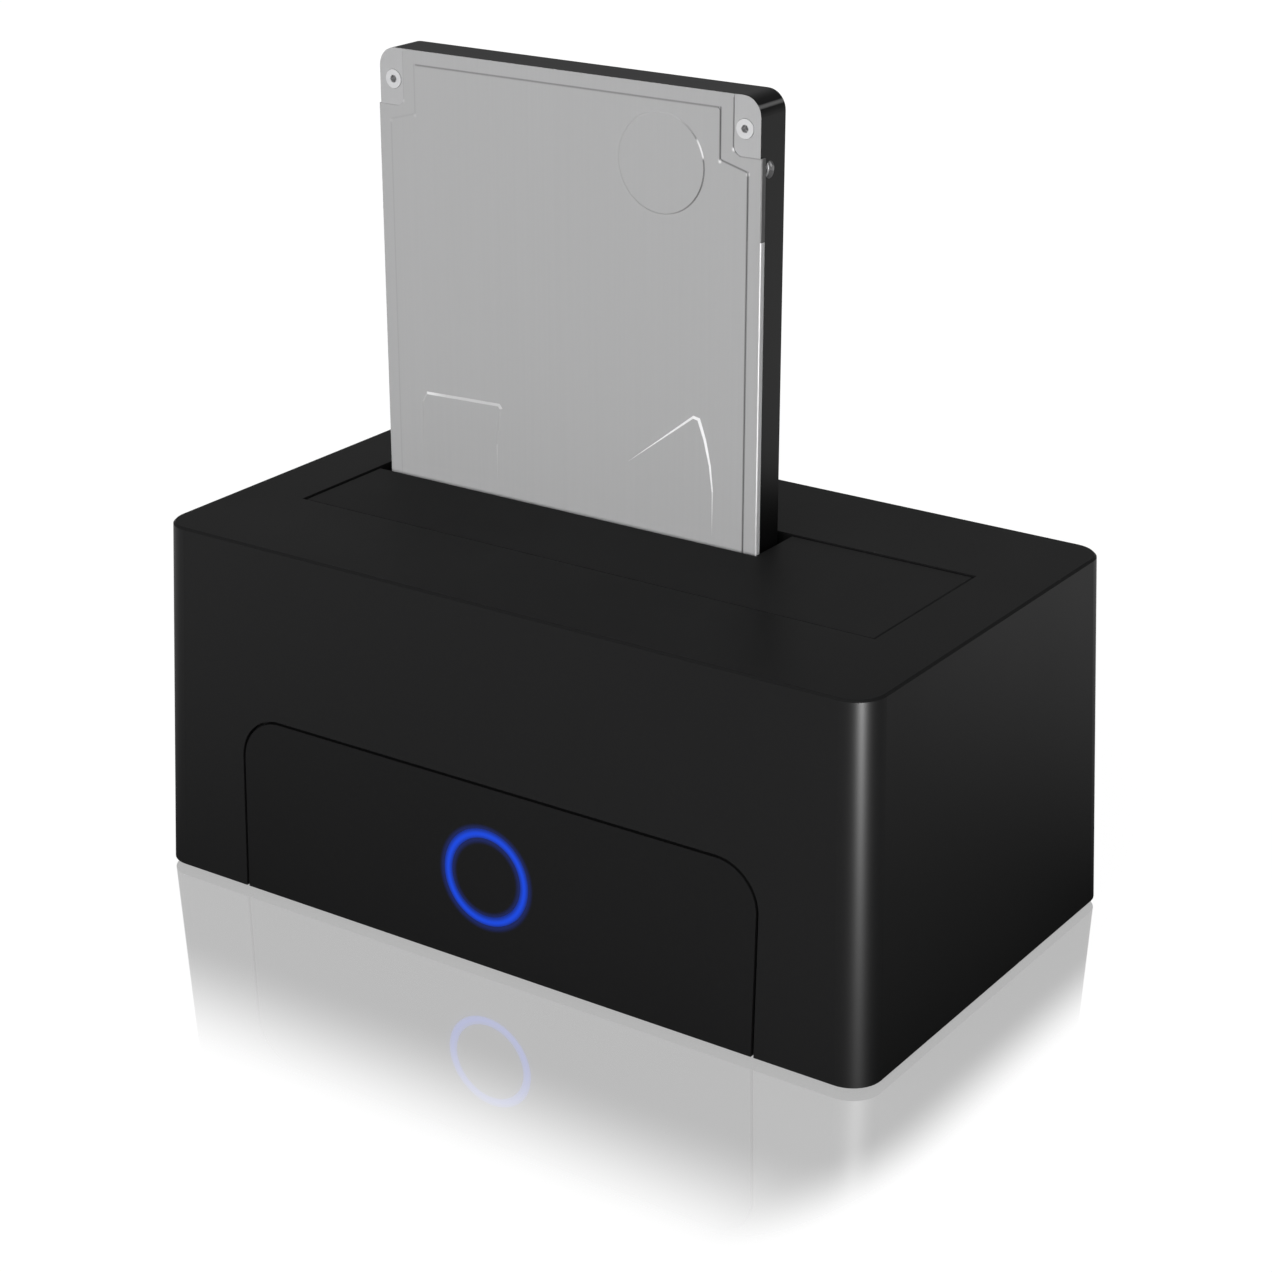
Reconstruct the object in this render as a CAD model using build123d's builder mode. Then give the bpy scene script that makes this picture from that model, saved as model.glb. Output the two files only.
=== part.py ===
"""Docking station for bare hard drives, with a slim 2.5 inch drive standing in it.

Millimetres. Origin on the floor, under the middle of the base. X runs along the front,
Y towards the back, Z up.
"""

import math
import os

from build123d import *

os.makedirs("parts", exist_ok=True)

# Housing
roof_side_margin = 11.0
roof_end_margin = 20.74
housing_height = 57.2
side_flare = 2.3
front_flare = 1.93
corner_radius = 4.8
wall = 2.4
roof = 1.8
edge_break = 0.35
foot_lift = 1.0
overrun = 1.0

# Bottom cover, its screws and feet
cover_thickness = 2.0
cover_gap = 0.15
post_radius = 2.9
post_side_gap = 0.6
post_end_gap = 1.8
case_screw_radius = 1.0
case_screw_length = 10.0
case_head_radius = 2.2
case_head_height = 1.1
head_clearance = 0.3
pilot_clearance = 0.05
foot_from_post = 12.0
foot_radius = 5.0
foot_recess = 0.8
foot_gap = 0.1
vent_length = 16.0
vent_width = 2.0
vent_pitch_x = 24.0
vent_pitch_y = 6.0
vents_across = 3
vents_deep = 4

# Front panel and its light ring
panel_width = 93.6
panel_height = 29.0
panel_corner = 7.0
panel_thickness = 1.4
panel_groove = 0.45
ring_height = 14.6
ring_outer = 7.7
ring_inner = 6.3
ring_gap = 0.05
flange_radius = 9.4
flange_thickness = 1.2
led_count = 6
led_height = 0.9
led_length = 2.0
led_width = 1.2
led_gap = 0.15
led_board_length = 36.0
led_board_height = 17.0
led_board_thickness = 1.2
led_post_x = 14.5
led_post_radius = 2.0
small_screw_radius = 0.75
socket_share = 0.42
small_head_radius = 1.5
small_head_height = 1.0
small_screw_grip = 3.0

# Slot in the roof and the flap that closes it
slot_play = 2.2
slot_front = 14.95
slot_rear = 14.77
seam = 0.35
flap_thickness = 2.0
flap_sink = 0.15
flap_edge_break = 0.2
notch_front = 4.19
notch_gap = 0.4
pin_radius = 0.8
pin_fit = 0.05
knuckle_radius = 1.3
knuckle_length = 14.0
knuckle_spread = 43.0
roof_clearance = 0.3
swing_clearance = 0.25
arm_reach = 3.0
flap_rib_height = 1.2
flap_rib_width = 1.2
flap_rib_inset = 6.0
lip_reach = 1.1
lip_inset = 3.0
lip_gap = 0.05

# Torsion spring of the flap
wire_radius = 0.18
spring_radius = 1.1
spring_turns = 6
spring_pitch = 0.85
spring_leg = 5.0
spring_aim = 0.26
spring_gap = 0.6

# Well that guides the drives
well_wall = 1.6
well_side_gap = 0.4
well_front_gap = 0.5
well_rear_gap = 1.4
floor_top = 20.2
floor_thickness = 1.8
guide_gap = 0.2
guide_width = 1.6
guide_lead = 2.0
guide_inset = 9.0
low_guide_height = 17.0
seat_gap = 1.1
ear_inset = 8.3
ear_radius = 3.2
ear_thickness = 2.0
ear_boss_height = 6.0
ear_boss_radius = 2.4
ear_gap = 0.4

# The 2.5 inch drive
drive_width = 69.85
drive_length = 100.35
drive_thickness = 7.0
drive_side_play = 2.0
drive_rear = 11.49
drive_bottom = 26.14
plug_offset = 4.805
connector_from_rear = 3.5
large_drive_width = 101.6

# Plug and socket of the drive
power_length = 20.9
signal_length = 10.6
segment_gap = 2.3
tongue_thickness = 1.2
tongue_depth = 5.0
tongue_gap = 0.35
key_width = 1.3
key_depth = 1.1
block_half_depth = 2.1
block_end = 1.5
block_clearance = 0.4
block_foot_depth = 3.0
block_foot_end = 3.2
block_foot_clearance = 1.4
contact_pitch = 1.27
contact_width = 0.6
contact_depth = 0.12
contact_edge = 1.2
power_contacts = 15
signal_contacts = 7

# Main board and what stands on it
board_bottom = 15.2
board_thickness = 1.6
board_side_gap = 4.1
board_front_gap = 1.75
board_rear_gap = 0.2
board_corner = 1.5
standoff_inset = 6.0
standoff_front = -10.0
standoff_rear_inset = 10.5
standoff_radius = 2.8
board_gap = 0.1

# Pins between the two boards, and the parts soldered to the main board
header_length = 11.0
header_depth = 2.5
header_height = 2.5
header_inset = 0.4
header_pitch = 2.0
header_pins = 5
header_pin = 0.5
chip_lift = 0.1
chip_leg = 0.8
chip_leg_width = 0.3
chip_height = 1.2
bridge_size = 7.0
bridge_legs = 12
bridge_y = -2.0
memory_length = 5.0
memory_depth = 3.9
memory_legs = 4
memory_offset = 14.0
regulator_x = 19.8
parts_inset = 7.5
crystal_offset = -12.0
crystal_length = 8.0
crystal_width = 3.8
crystal_height = 3.0
capacitor_places = [-22.0, -13.5]
capacitor_radius = 3.2
capacitor_foot = 0.8
capacitor_height = 7.7
coil_x = -4.5
coil_size = 6.0
coil_height = 3.0

# Rear ports
port_gap = 0.3
port_recess = 0.4
usb_x = 8.0
usb_width = 12.2
usb_height = 10.9
usb_shoulder = 7.8
usb_neck = 8.2
usb_chamfer = 1.5
usb_back_gap = 0.33
usb_skin = 0.5
usb_tongue_recess = 5.1
usb_low_tongue = 3.9
usb_low_width = 5.6
usb_low_height = 3.2
usb_high_tongue = 9.2
usb_high_width = 5.0
usb_high_height = 1.0
jack_x = 30.0
jack_width = 9.0
jack_height = 11.0
jack_back_gap = 3.43
jack_corner = 1.0
jack_bore_radius = 3.15
jack_floor = 4.6
jack_pin_radius = 1.05
jack_pin_recess = 0.8
switch_x = -34.0
switch_z = 23.4
bezel_width = 15.0
bezel_height = 10.6
bezel_thickness = 1.5
bezel_proud = 0.3
bezel_corner = 1.0
switch_width = 13.4
switch_height = 8.6
switch_back_gap = 6.83
rocker_radius = 5.9
rocker_height = 6.6
rocker_gap = 0.35
rocker_throw = 16.0
rocker_pivot_depth = 3.2
rocker_end_rise = 2.9
rocker_valley_rise = 2.2
rocker_keel = 1.8
rocker_keel_width = 4.0
switch_floor = 5.4
stub_radius = 0.8
stub_gap = 0.1
terminal_width = 2.8
terminal_thickness = 0.8
terminal_spacing = 7.0
terminal_reach = 2.6

# Drive details, measured from its left and top edges
drive_corner = 3.0
drive_foot_corner = 1.0
cover_sheet = 0.2
cover_rise = 0.31
tab_width = 4.85
tab_depth = 8.8
tab_corner = 1.4
raised_inset = 2.35
raised_top = 2.2
raised_tab_inset = 7.1
raised_tab_depth = 9.7
raised_step = 1.3
raised_corner = 0.7
raised_foot = 3.0
roll_width = 0.3
roll_depth = 1.0
roll_gap = 0.05
roll_foot = 1.5
disc_inset = 17.25
disc_down = 11.5
disc_radius = 7.6
emboss = 0.22
emboss_taper = 62.0
pad_shares = [
    (0.1, 0.66),
    (0.1, 0.555),
    (0.113, 0.538),
    (0.32, 0.533),
    (0.328, 0.54),
    (0.313, 0.6),
    (0.31, 0.66),
]
peak_shares = [
    (0.665, 0.583),
    (0.838, 0.487),
    (0.855, 0.489),
    (0.871, 0.52),
    (0.884, 0.56),
    (0.89, 0.60),
    (0.888, 0.67),
]
drive_screw_inset = 3.0
drive_screw_down = 4.8
drive_screw_low = 5.0
drive_screw_radius = 0.8
drive_screw_head = 1.45
drive_screw_grip = 2.5
drive_screw_recess = 0.2
drive_socket_depth = 0.9
side_hole_radius = 1.25
side_hole_depth = 3.0
side_hole_back = 2.9
side_hole_down = 10.8
side_hole_up = 14.0
drive_board_inset = 2.4
drive_board_height = 47.0
drive_board_thickness = 0.8
drive_board_recess = 1.1
drive_board_foot = 9.0
motor_down = 41.0
motor_radius = 12.5
motor_depth = 1.0
motor_ring = 2.0
motor_gap = 0.15
motor_hub_radius = 3.0
plug_wall = 1.1
plug_gap = 0.2
plug_height = 7.5
plug_cavity_gap = 0.6
plug_inset = 0.3

# Lengths that follow from the drives and the margins round them
slot_half_length = (large_drive_width + slot_play) / 2
drive_left = -slot_half_length + drive_side_play
top_length = 2 * (slot_half_length + roof_side_margin)
top_depth = slot_front + slot_rear + 2 * roof_end_margin

# Working heights and planes
base_z = foot_lift
top_z = foot_lift + housing_height
roof_under = top_z - roof
cover_top = base_z + cover_thickness
board_top = board_bottom + board_thickness
floor_under = floor_top - floor_thickness
ring_z = base_z + ring_height


def length_at(height):
    """Length of the flared housing at a height above the floor."""
    return top_length + 2 * side_flare * (top_z - height) / housing_height


def depth_at(height):
    """Depth of the flared housing at a height above the floor."""
    return top_depth + 2 * front_flare * (top_z - height) / housing_height


def flared_block(low, high, inset):
    """Solid with the housing's flare, its sides moved in by inset."""
    corner = max(corner_radius - inset, edge_break)
    with BuildPart() as block:
        for height in (low, high):
            with BuildSketch(Plane.XY.offset(height)):
                RectangleRounded(length_at(height) - 2 * inset, depth_at(height) - 2 * inset, corner)
        loft(ruled=True)
    return block.part


def housing_block():
    """Outer form of the housing, with the thin bevel round its roof."""
    with BuildPart() as block:
        add(flared_block(base_z, top_z - edge_break, 0))
        with BuildSketch(Plane.XY.offset(top_z - edge_break)):
            RectangleRounded(length_at(top_z - edge_break), depth_at(top_z - edge_break), corner_radius)
        with BuildSketch(Plane.XY.offset(top_z)):
            RectangleRounded(
                top_length - 2 * edge_break, top_depth - 2 * edge_break, corner_radius - edge_break
            )
        loft(ruled=True)
    return block.part


def front_plane_at(height):
    """Plane on the sloping front, looking out, with its own Y up the slope."""
    return Plane(
        origin=(0, -depth_at(height) / 2, height),
        x_dir=(1, 0, 0),
        z_dir=(0, -housing_height, front_flare),
    )


def rear_plane_at(place_x, height):
    """Plane on the sloping back, looking out, with its own Y up the slope."""
    return Plane(
        origin=(place_x, depth_at(height) / 2, height),
        x_dir=(-1, 0, 0),
        z_dir=(0, housing_height, front_flare),
    )


def panel_block(grow, thickness):
    """Skin of the front inside the panel's outline, grown on its open sides."""
    with BuildPart() as block:
        add(flared_block(base_z, top_z, 0))
        add(flared_block(base_z - overrun, top_z + overrun, thickness), mode=Mode.SUBTRACT)
        with BuildSketch(Plane.XZ) as outline:
            with Locations((0, base_z - overrun)):
                Rectangle(
                    panel_width + 2 * grow,
                    panel_height + grow + overrun,
                    align=(Align.CENTER, Align.MIN),
                )
            fillet(outline.vertices().group_by(Axis.Y)[-1], panel_corner + grow)
        extrude(amount=depth_at(base_z), mode=Mode.INTERSECT)
    return block.part


def save(piece, name):
    """Label one finished piece and write it."""
    piece.part.label = name
    export_step(piece.part, "parts/" + name + ".step")


ring_plane = front_plane_at(ring_z)
post_x = top_length / 2 - wall - post_radius - post_side_gap
post_y = top_depth / 2 - wall - post_radius - post_end_gap
foot_x = post_x - foot_from_post
foot_y = post_y
board_half_length = post_x - post_radius - board_side_gap
standoff_x = board_half_length - standoff_inset
led_board_near = wall + flange_thickness + led_gap + led_height
led_board_far = led_board_near + led_board_thickness
board_front = led_board_far + board_front_gap - depth_at(board_top) / 2
board_rear = top_depth / 2 - wall - board_rear_gap
standoff_rear = board_rear - standoff_rear_inset
post_places = [(x, y) for x in (-post_x, post_x) for y in (-post_y, post_y)]
foot_places = [(x, y) for x in (-foot_x, foot_x) for y in (-foot_y, foot_y)]
standoff_places = [(x, y) for x in (-standoff_x, standoff_x) for y in (standoff_front, standoff_rear)]

# The flap hangs on an axis under the roof, just far enough forward for a thick drive
flap_top = top_z - flap_sink
flap_under = flap_top - flap_thickness
flap_front = -slot_front + seam
flap_rear = slot_rear - seam
axis_z = roof_under - roof_clearance - knuckle_radius
axis_y = flap_front - swing_clearance - (flap_top - axis_z)
flap_half_length = slot_half_length - seam
knuckle_middles = [-knuckle_spread, 0, knuckle_spread]
spring_start = knuckle_length / 2 + spring_gap
well_half_length = slot_half_length + well_side_gap
well_front = axis_y - knuckle_radius - well_front_gap
well_rear = slot_rear + well_rear_gap
ear_x = well_half_length - ear_inset
ear_front = well_front - well_wall - ear_boss_radius - ear_gap
ear_rear = well_rear + well_wall + ear_boss_radius + ear_gap
ear_places = [(x, y) for x in (-ear_x, ear_x) for y in (ear_front, ear_rear)]

# The drive's faces and the middle of its plug
drive_right = drive_left + drive_width
drive_front = drive_rear - drive_thickness
drive_top = drive_bottom + drive_length
plug_x = drive_left + drive_width / 2 - plug_offset
plug_y = drive_rear - connector_from_rear
notch_right = drive_right + notch_gap
block_half_length = (power_length + segment_gap + signal_length) / 2 + block_end
power_left = plug_x - block_half_length + block_end
signal_left = power_left + power_length + segment_gap
seat_length = (
    plug_x - drive_left - block_half_length - block_foot_end - block_clearance - seat_gap
)
rear_guides = [drive_left + guide_inset, plug_x, drive_right - guide_inset]
low_guides = [drive_left + large_drive_width - guide_inset]
seat_places = [
    drive_left + seat_length / 2,
    drive_right - seat_length / 2,
    drive_left + large_drive_width - seat_length,
]

# The ports fill the room between the well and the rear wall
port_room = top_depth / 2 - well_rear - well_wall
usb_depth = port_room - usb_back_gap
usb_tongue_length = usb_depth - usb_tongue_recess
jack_depth = port_room - jack_back_gap
jack_bore_depth = jack_depth - jack_floor
switch_depth = port_room - switch_back_gap
rocker_well_depth = switch_depth - switch_floor

# Planes and places of the boards and ports
parts_y = board_rear - parts_inset
header_front = board_front + header_inset
led_board_back = led_board_far - depth_at(board_top + header_height / 2) / 2
memory_x = plug_x + memory_offset
crystal_x = plug_x + crystal_offset
usb_plane = Plane(
    origin=(usb_x, depth_at(board_top + usb_height / 2) / 2 - port_recess, board_top),
    x_dir=(-1, 0, 0),
    z_dir=(0, 1, 0),
)
jack_plane = Plane(
    origin=(jack_x, depth_at(board_top + jack_height / 2) / 2 - port_recess, board_top),
    x_dir=(-1, 0, 0),
    z_dir=(0, 1, 0),
)
switch_plane = rear_plane_at(switch_x, switch_z)
rocker_section = Plane(
    origin=switch_plane.origin, x_dir=-switch_plane.x_dir, z_dir=switch_plane.y_dir
)
rocker_well = rocker_radius + rocker_gap
terminal_y = (switch_plane.origin - switch_plane.z_dir * (switch_depth + terminal_reach)).Y
terminal_z = (switch_plane.origin - switch_plane.z_dir * (switch_depth + terminal_reach)).Z


def usb_outline(inset):
    """Corners of the stepped data socket, moved in by inset."""
    side = usb_width / 2 - inset
    neck = usb_neck / 2 - inset
    right = [
        (side, inset),
        (side, usb_shoulder - usb_chamfer - inset / 2),
        (side - usb_chamfer + inset / 2, usb_shoulder - inset),
        (neck, usb_shoulder - inset),
        (neck, usb_height - inset),
    ]
    return right + [(-x, y) for x, y in reversed(right)]


# Top housing: one flared shell with the slot in its roof and the ports in its back
with BuildPart() as top_housing:
    add(housing_block())
    add(flared_block(base_z - overrun, roof_under, wall), mode=Mode.SUBTRACT)
    add(panel_block(panel_groove, panel_thickness), mode=Mode.SUBTRACT)
    with BuildSketch(Plane.XY.offset(top_z + overrun)):
        with Locations((0, (slot_rear - slot_front) / 2)):
            Rectangle(2 * slot_half_length, slot_front + slot_rear)
    extrude(amount=-(roof + 2 * overrun), mode=Mode.SUBTRACT)
    # Screw posts for the bottom cover
    with BuildSketch(Plane.XY.offset(roof_under)):
        with Locations(*post_places):
            Circle(post_radius)
    extrude(amount=-(roof_under - cover_top))
    with BuildSketch(Plane.XY.offset(cover_top)):
        with Locations(*post_places):
            Circle(case_screw_radius + pilot_clearance)
    extrude(amount=case_screw_length, mode=Mode.SUBTRACT)
    # Bosses that carry the well
    with BuildSketch(Plane.XY.offset(roof_under)):
        with Locations(*ear_places):
            Circle(ear_boss_radius)
    extrude(amount=-ear_boss_height)
    with BuildSketch(Plane.XY.offset(roof_under - ear_boss_height)):
        with Locations(*ear_places):
            Circle(small_screw_radius + pilot_clearance)
    extrude(amount=small_screw_grip + pilot_clearance, mode=Mode.SUBTRACT)
    # Light guide hole and the two posts of the light board
    with BuildSketch(ring_plane):
        Circle(ring_outer + 2 * ring_gap)
    extrude(amount=-(wall + overrun), mode=Mode.SUBTRACT)
    with BuildSketch(ring_plane.offset(-(wall - edge_break))):
        with Locations((-led_post_x, 0), (led_post_x, 0)):
            Circle(led_post_radius)
    extrude(amount=-(led_board_near - wall + edge_break))
    with BuildSketch(ring_plane.offset(-led_board_near)):
        with Locations((-led_post_x, 0), (led_post_x, 0)):
            Circle(small_screw_radius + pilot_clearance)
    extrude(amount=small_screw_grip, mode=Mode.SUBTRACT)
    # Openings for the two sockets and the switch
    with BuildSketch(usb_plane):
        with BuildLine():
            Polyline(*usb_outline(-port_gap), close=True)
        make_face()
    extrude(amount=wall + overrun, both=True, mode=Mode.SUBTRACT)
    with BuildSketch(jack_plane):
        with Locations((0, jack_height / 2)):
            RectangleRounded(jack_width + 2 * port_gap, jack_height + 2 * port_gap, jack_corner + port_gap)
    extrude(amount=wall + overrun, both=True, mode=Mode.SUBTRACT)
    with BuildSketch(switch_plane.offset(overrun)):
        Rectangle(switch_width + port_gap, switch_height + port_gap)
    extrude(amount=-(wall + 2 * overrun), mode=Mode.SUBTRACT)
    with BuildSketch(switch_plane.offset(overrun)):
        RectangleRounded(bezel_width + port_gap, bezel_height + port_gap, bezel_corner)
    extrude(amount=-(bezel_thickness - bezel_proud + overrun), mode=Mode.SUBTRACT)
save(top_housing, "top_housing")

# Bottom cover: a tray floor with vents, screw wells, foot recesses and board standoffs
with BuildPart() as base_cover:
    add(flared_block(base_z, cover_top, wall + cover_gap))
    with BuildSketch(Plane.XY.offset(cover_top)):
        with Locations(*standoff_places):
            Circle(standoff_radius)
    extrude(amount=board_bottom - cover_top)
    with BuildSketch(Plane.XY.offset(board_bottom)):
        with Locations(*standoff_places):
            Circle(small_screw_radius + pilot_clearance)
    extrude(amount=-(small_screw_grip + pilot_clearance), mode=Mode.SUBTRACT)
    with BuildSketch(Plane.XY.offset(base_z)):
        with GridLocations(vent_pitch_x, vent_pitch_y, vents_across, vents_deep):
            SlotOverall(vent_length, vent_width)
    extrude(amount=cover_thickness, mode=Mode.SUBTRACT)
    with BuildSketch(Plane.XY.offset(base_z)):
        with Locations(*foot_places):
            Circle(foot_radius + foot_gap)
    extrude(amount=foot_recess, mode=Mode.SUBTRACT)
    with BuildSketch(Plane.XY.offset(base_z)):
        with Locations(*post_places):
            Circle(case_screw_radius + head_clearance)
    extrude(amount=cover_thickness, mode=Mode.SUBTRACT)
    with BuildSketch(Plane.XY.offset(base_z)):
        with Locations(*post_places):
            Circle(case_head_radius + head_clearance)
    extrude(amount=case_head_height, mode=Mode.SUBTRACT)
save(base_cover, "base_cover")

with BuildPart() as rubber_feet:
    with BuildSketch():
        with Locations(*foot_places):
            Circle(foot_radius)
    extrude(amount=foot_lift + foot_recess)
    chamfer(rubber_feet.edges().group_by(Axis.Z)[0], edge_break)
save(rubber_feet, "rubber_feet")


def screw_group(plane, places, shank_radius, shank_length, head_radius, head_height, socket_depth):
    """Pan head screws on a plane: heads above it, shanks below it."""
    with BuildPart() as group:
        with BuildSketch(plane):
            with Locations(*places):
                Circle(shank_radius)
        extrude(amount=-shank_length)
        with BuildSketch(plane):
            with Locations(*places):
                Circle(head_radius)
        extrude(amount=head_height)
        with BuildSketch(plane.offset(head_height)):
            with Locations(*places):
                RegularPolygon(head_radius * socket_share, 6)
        extrude(amount=-socket_depth, mode=Mode.SUBTRACT)
    return group


case_plane = Plane(origin=(0, 0, base_z + case_head_height), x_dir=(1, 0, 0), z_dir=(0, 0, -1))
case_screws = screw_group(
    case_plane,
    post_places,
    case_screw_radius,
    case_screw_length,
    case_head_radius,
    case_head_height,
    case_head_height / 2,
)
save(case_screws, "case_screws")

# Front panel, flush in its recess, with the round hole of the light ring
with BuildPart() as front_panel:
    add(panel_block(0, panel_thickness))
    with BuildSketch(ring_plane.offset(overrun)):
        Circle(ring_outer + ring_gap)
    extrude(amount=-(panel_thickness + 2 * overrun), mode=Mode.SUBTRACT)
save(front_panel, "front_panel")

# Light guide: a ring flush with the panel on a round flange behind the wall
with BuildPart() as light_guide:
    with BuildSketch(ring_plane.offset(-wall)):
        Circle(flange_radius)
    extrude(amount=-flange_thickness)
    with BuildSketch(ring_plane.offset(-wall)):
        Circle(ring_outer)
        Circle(ring_inner, mode=Mode.SUBTRACT)
    extrude(amount=wall)
save(light_guide, "light_guide")

with BuildPart() as ring_centre:
    with BuildSketch(ring_plane.offset(-wall)):
        Circle(ring_inner - ring_gap)
    extrude(amount=wall)
save(ring_centre, "ring_centre")

with BuildPart() as led_board:
    with BuildSketch(ring_plane.offset(-led_board_near)):
        RectangleRounded(led_board_length, led_board_height, board_corner)
        with Locations((-led_post_x, 0), (led_post_x, 0)):
            Circle(small_screw_radius + head_clearance, mode=Mode.SUBTRACT)
    extrude(amount=-led_board_thickness)
save(led_board, "led_board")

with BuildPart() as ring_leds:
    with BuildSketch(ring_plane.offset(-led_board_near)):
        with PolarLocations((ring_inner + ring_outer) / 2, led_count):
            Rectangle(led_width, led_length)
    extrude(amount=led_height)
save(ring_leds, "ring_leds")

led_screw_plane = Plane(
    origin=ring_plane.offset(-led_board_far).origin, x_dir=(1, 0, 0), z_dir=-ring_plane.z_dir
)
led_screws = screw_group(
    led_screw_plane,
    [(-led_post_x, 0), (led_post_x, 0)],
    small_screw_radius,
    led_board_thickness + small_screw_grip - pilot_clearance,
    small_head_radius,
    small_head_height,
    small_head_height / 2,
)
save(led_screws, "led_screws")

# Flap: an L shaped plate that leaves a notch for the slim drive
with BuildPart() as flap:
    with BuildSketch(Plane.XY.offset(flap_under)):
        with BuildLine():
            Polyline(
                (-flap_half_length, flap_front),
                (flap_half_length, flap_front),
                (flap_half_length, flap_rear),
                (notch_right, flap_rear),
                (notch_right, notch_front - guide_gap),
                (-flap_half_length, notch_front - guide_gap),
                close=True,
            )
        make_face()
    extrude(amount=flap_thickness)
    chamfer(flap.edges().group_by(Axis.Z)[-1], flap_edge_break)
    # Ribs under the plate
    with BuildSketch(Plane.XY.offset(flap_under)):
        with Locations((0, flap_front + flap_rib_inset)):
            Rectangle(2 * (flap_half_length - flap_rib_inset), flap_rib_width)
        with Locations((0, notch_front - flap_rib_inset)):
            Rectangle(2 * (flap_half_length - flap_rib_inset), flap_rib_width)
        with Locations((notch_right + flap_rib_inset, flap_rear - flap_rib_inset)):
            Rectangle(
                flap_half_length - notch_right - 2 * flap_rib_inset,
                flap_rib_width,
                align=(Align.MIN, Align.CENTER),
            )
    extrude(amount=-flap_rib_height)
    # Stop lip that meets the underside of the roof behind the slot
    with BuildSketch(Plane.XY.offset(roof_under - lip_gap)):
        with Locations(((notch_right + flap_half_length) / 2, flap_rear - lip_inset)):
            Rectangle(
                flap_half_length - notch_right - 2 * lip_inset,
                lip_inset + lip_reach,
                align=(Align.CENTER, Align.MIN),
            )
    extrude(amount=-(roof_under - lip_gap - flap_under + flap_rib_height))
    # Hinge knuckles on arms that reach under the roof
    for middle in knuckle_middles:
        with BuildSketch(Plane.YZ.offset(middle - knuckle_length / 2)):
            with BuildLine():
                Polyline(
                    (axis_y, axis_z + knuckle_radius),
                    (flap_front + arm_reach, axis_z + knuckle_radius),
                    (flap_front + arm_reach, flap_under - flap_rib_height),
                    (axis_y + knuckle_radius / 2, axis_z - knuckle_radius / 2),
                    (axis_y, axis_z),
                    close=True,
                )
            make_face()
            with Locations((axis_y, axis_z)):
                Circle(knuckle_radius)
        extrude(amount=knuckle_length)
    with BuildSketch(Plane.YZ.offset(-slot_half_length)):
        with Locations((axis_y, axis_z)):
            Circle(pin_radius + pin_fit)
    extrude(amount=2 * slot_half_length, mode=Mode.SUBTRACT)
save(flap, "flap")

with BuildPart() as hinge_pin:
    with BuildSketch(Plane.YZ.offset(-(well_half_length + well_wall))):
        with Locations((axis_y, axis_z)):
            Circle(pin_radius)
    extrude(amount=2 * (well_half_length + well_wall))
    chamfer(hinge_pin.edges(), edge_break / 2)
save(hinge_pin, "hinge_pin")


def arc_pair(start, start_way, end, end_way):
    """Two tangent arcs from one point and direction to another."""
    span = end - start
    ways = start_way + end_way
    bend = 2 * (1 - start_way.dot(end_way))
    along = span.dot(ways)
    reach = (-along + math.sqrt(along * along + bend * span.dot(span))) / bend
    middle = (start + end + (start_way - end_way) * reach) / 2
    first = TangentArc(start, middle, tangent=start_way, mode=Mode.PRIVATE)
    second = TangentArc(middle, end, tangent=first % 1, mode=Mode.PRIVATE)
    return [first, second]


def spring_point(turn):
    """Point on the coil's centre line after a number of turns from the front of the pin."""
    angle = math.pi - 2 * math.pi * turn
    return Vector(
        spring_start + spring_pitch * turn,
        axis_y + spring_radius * math.cos(angle),
        axis_z + spring_radius * math.sin(angle),
    )


def spring_way(turn):
    """Direction of the coil's centre line there."""
    angle = math.pi - 2 * math.pi * turn
    sweep_rate = 2 * math.pi * spring_radius
    return Vector(
        spring_pitch, sweep_rate * math.sin(angle), -sweep_rate * math.cos(angle)
    ).normalized()


# Torsion spring: one wire that winds round the hinge pin
coil_stops = [quarter / 4 for quarter in range(4 * spring_turns + 1)] + [spring_turns + spring_aim]
coil_arcs = []
for turn, next_turn in zip(coil_stops, coil_stops[1:]):
    coil_arcs += arc_pair(
        spring_point(turn), spring_way(turn), spring_point(next_turn), spring_way(next_turn)
    )
coil_end = spring_point(coil_stops[-1])
end_way = spring_way(coil_stops[-1])
front_leg = Line(
    spring_point(0) - spring_way(0) * spring_leg, spring_point(0), mode=Mode.PRIVATE
)
rear_leg = Line(coil_end, coil_end + end_way * spring_leg, mode=Mode.PRIVATE)
spring_path = Wire([edge for part in [front_leg] + coil_arcs + [rear_leg] for edge in part.edges()])
with BuildPart() as flap_spring:
    with BuildSketch(Plane(origin=spring_path @ 0, z_dir=spring_path % 0)):
        Circle(wire_radius)
    sweep(path=spring_path)
save(flap_spring, "flap_spring")
coil_gap = min(
    (spring_point(turn / 24) - spring_point(turn / 24 + step / 24)).length
    for turn in range(24 * (spring_turns - 1))
    for step in range(18, 25)
) - 2 * wire_radius
print("least gap between spring turns", round(coil_gap, 3))

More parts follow.
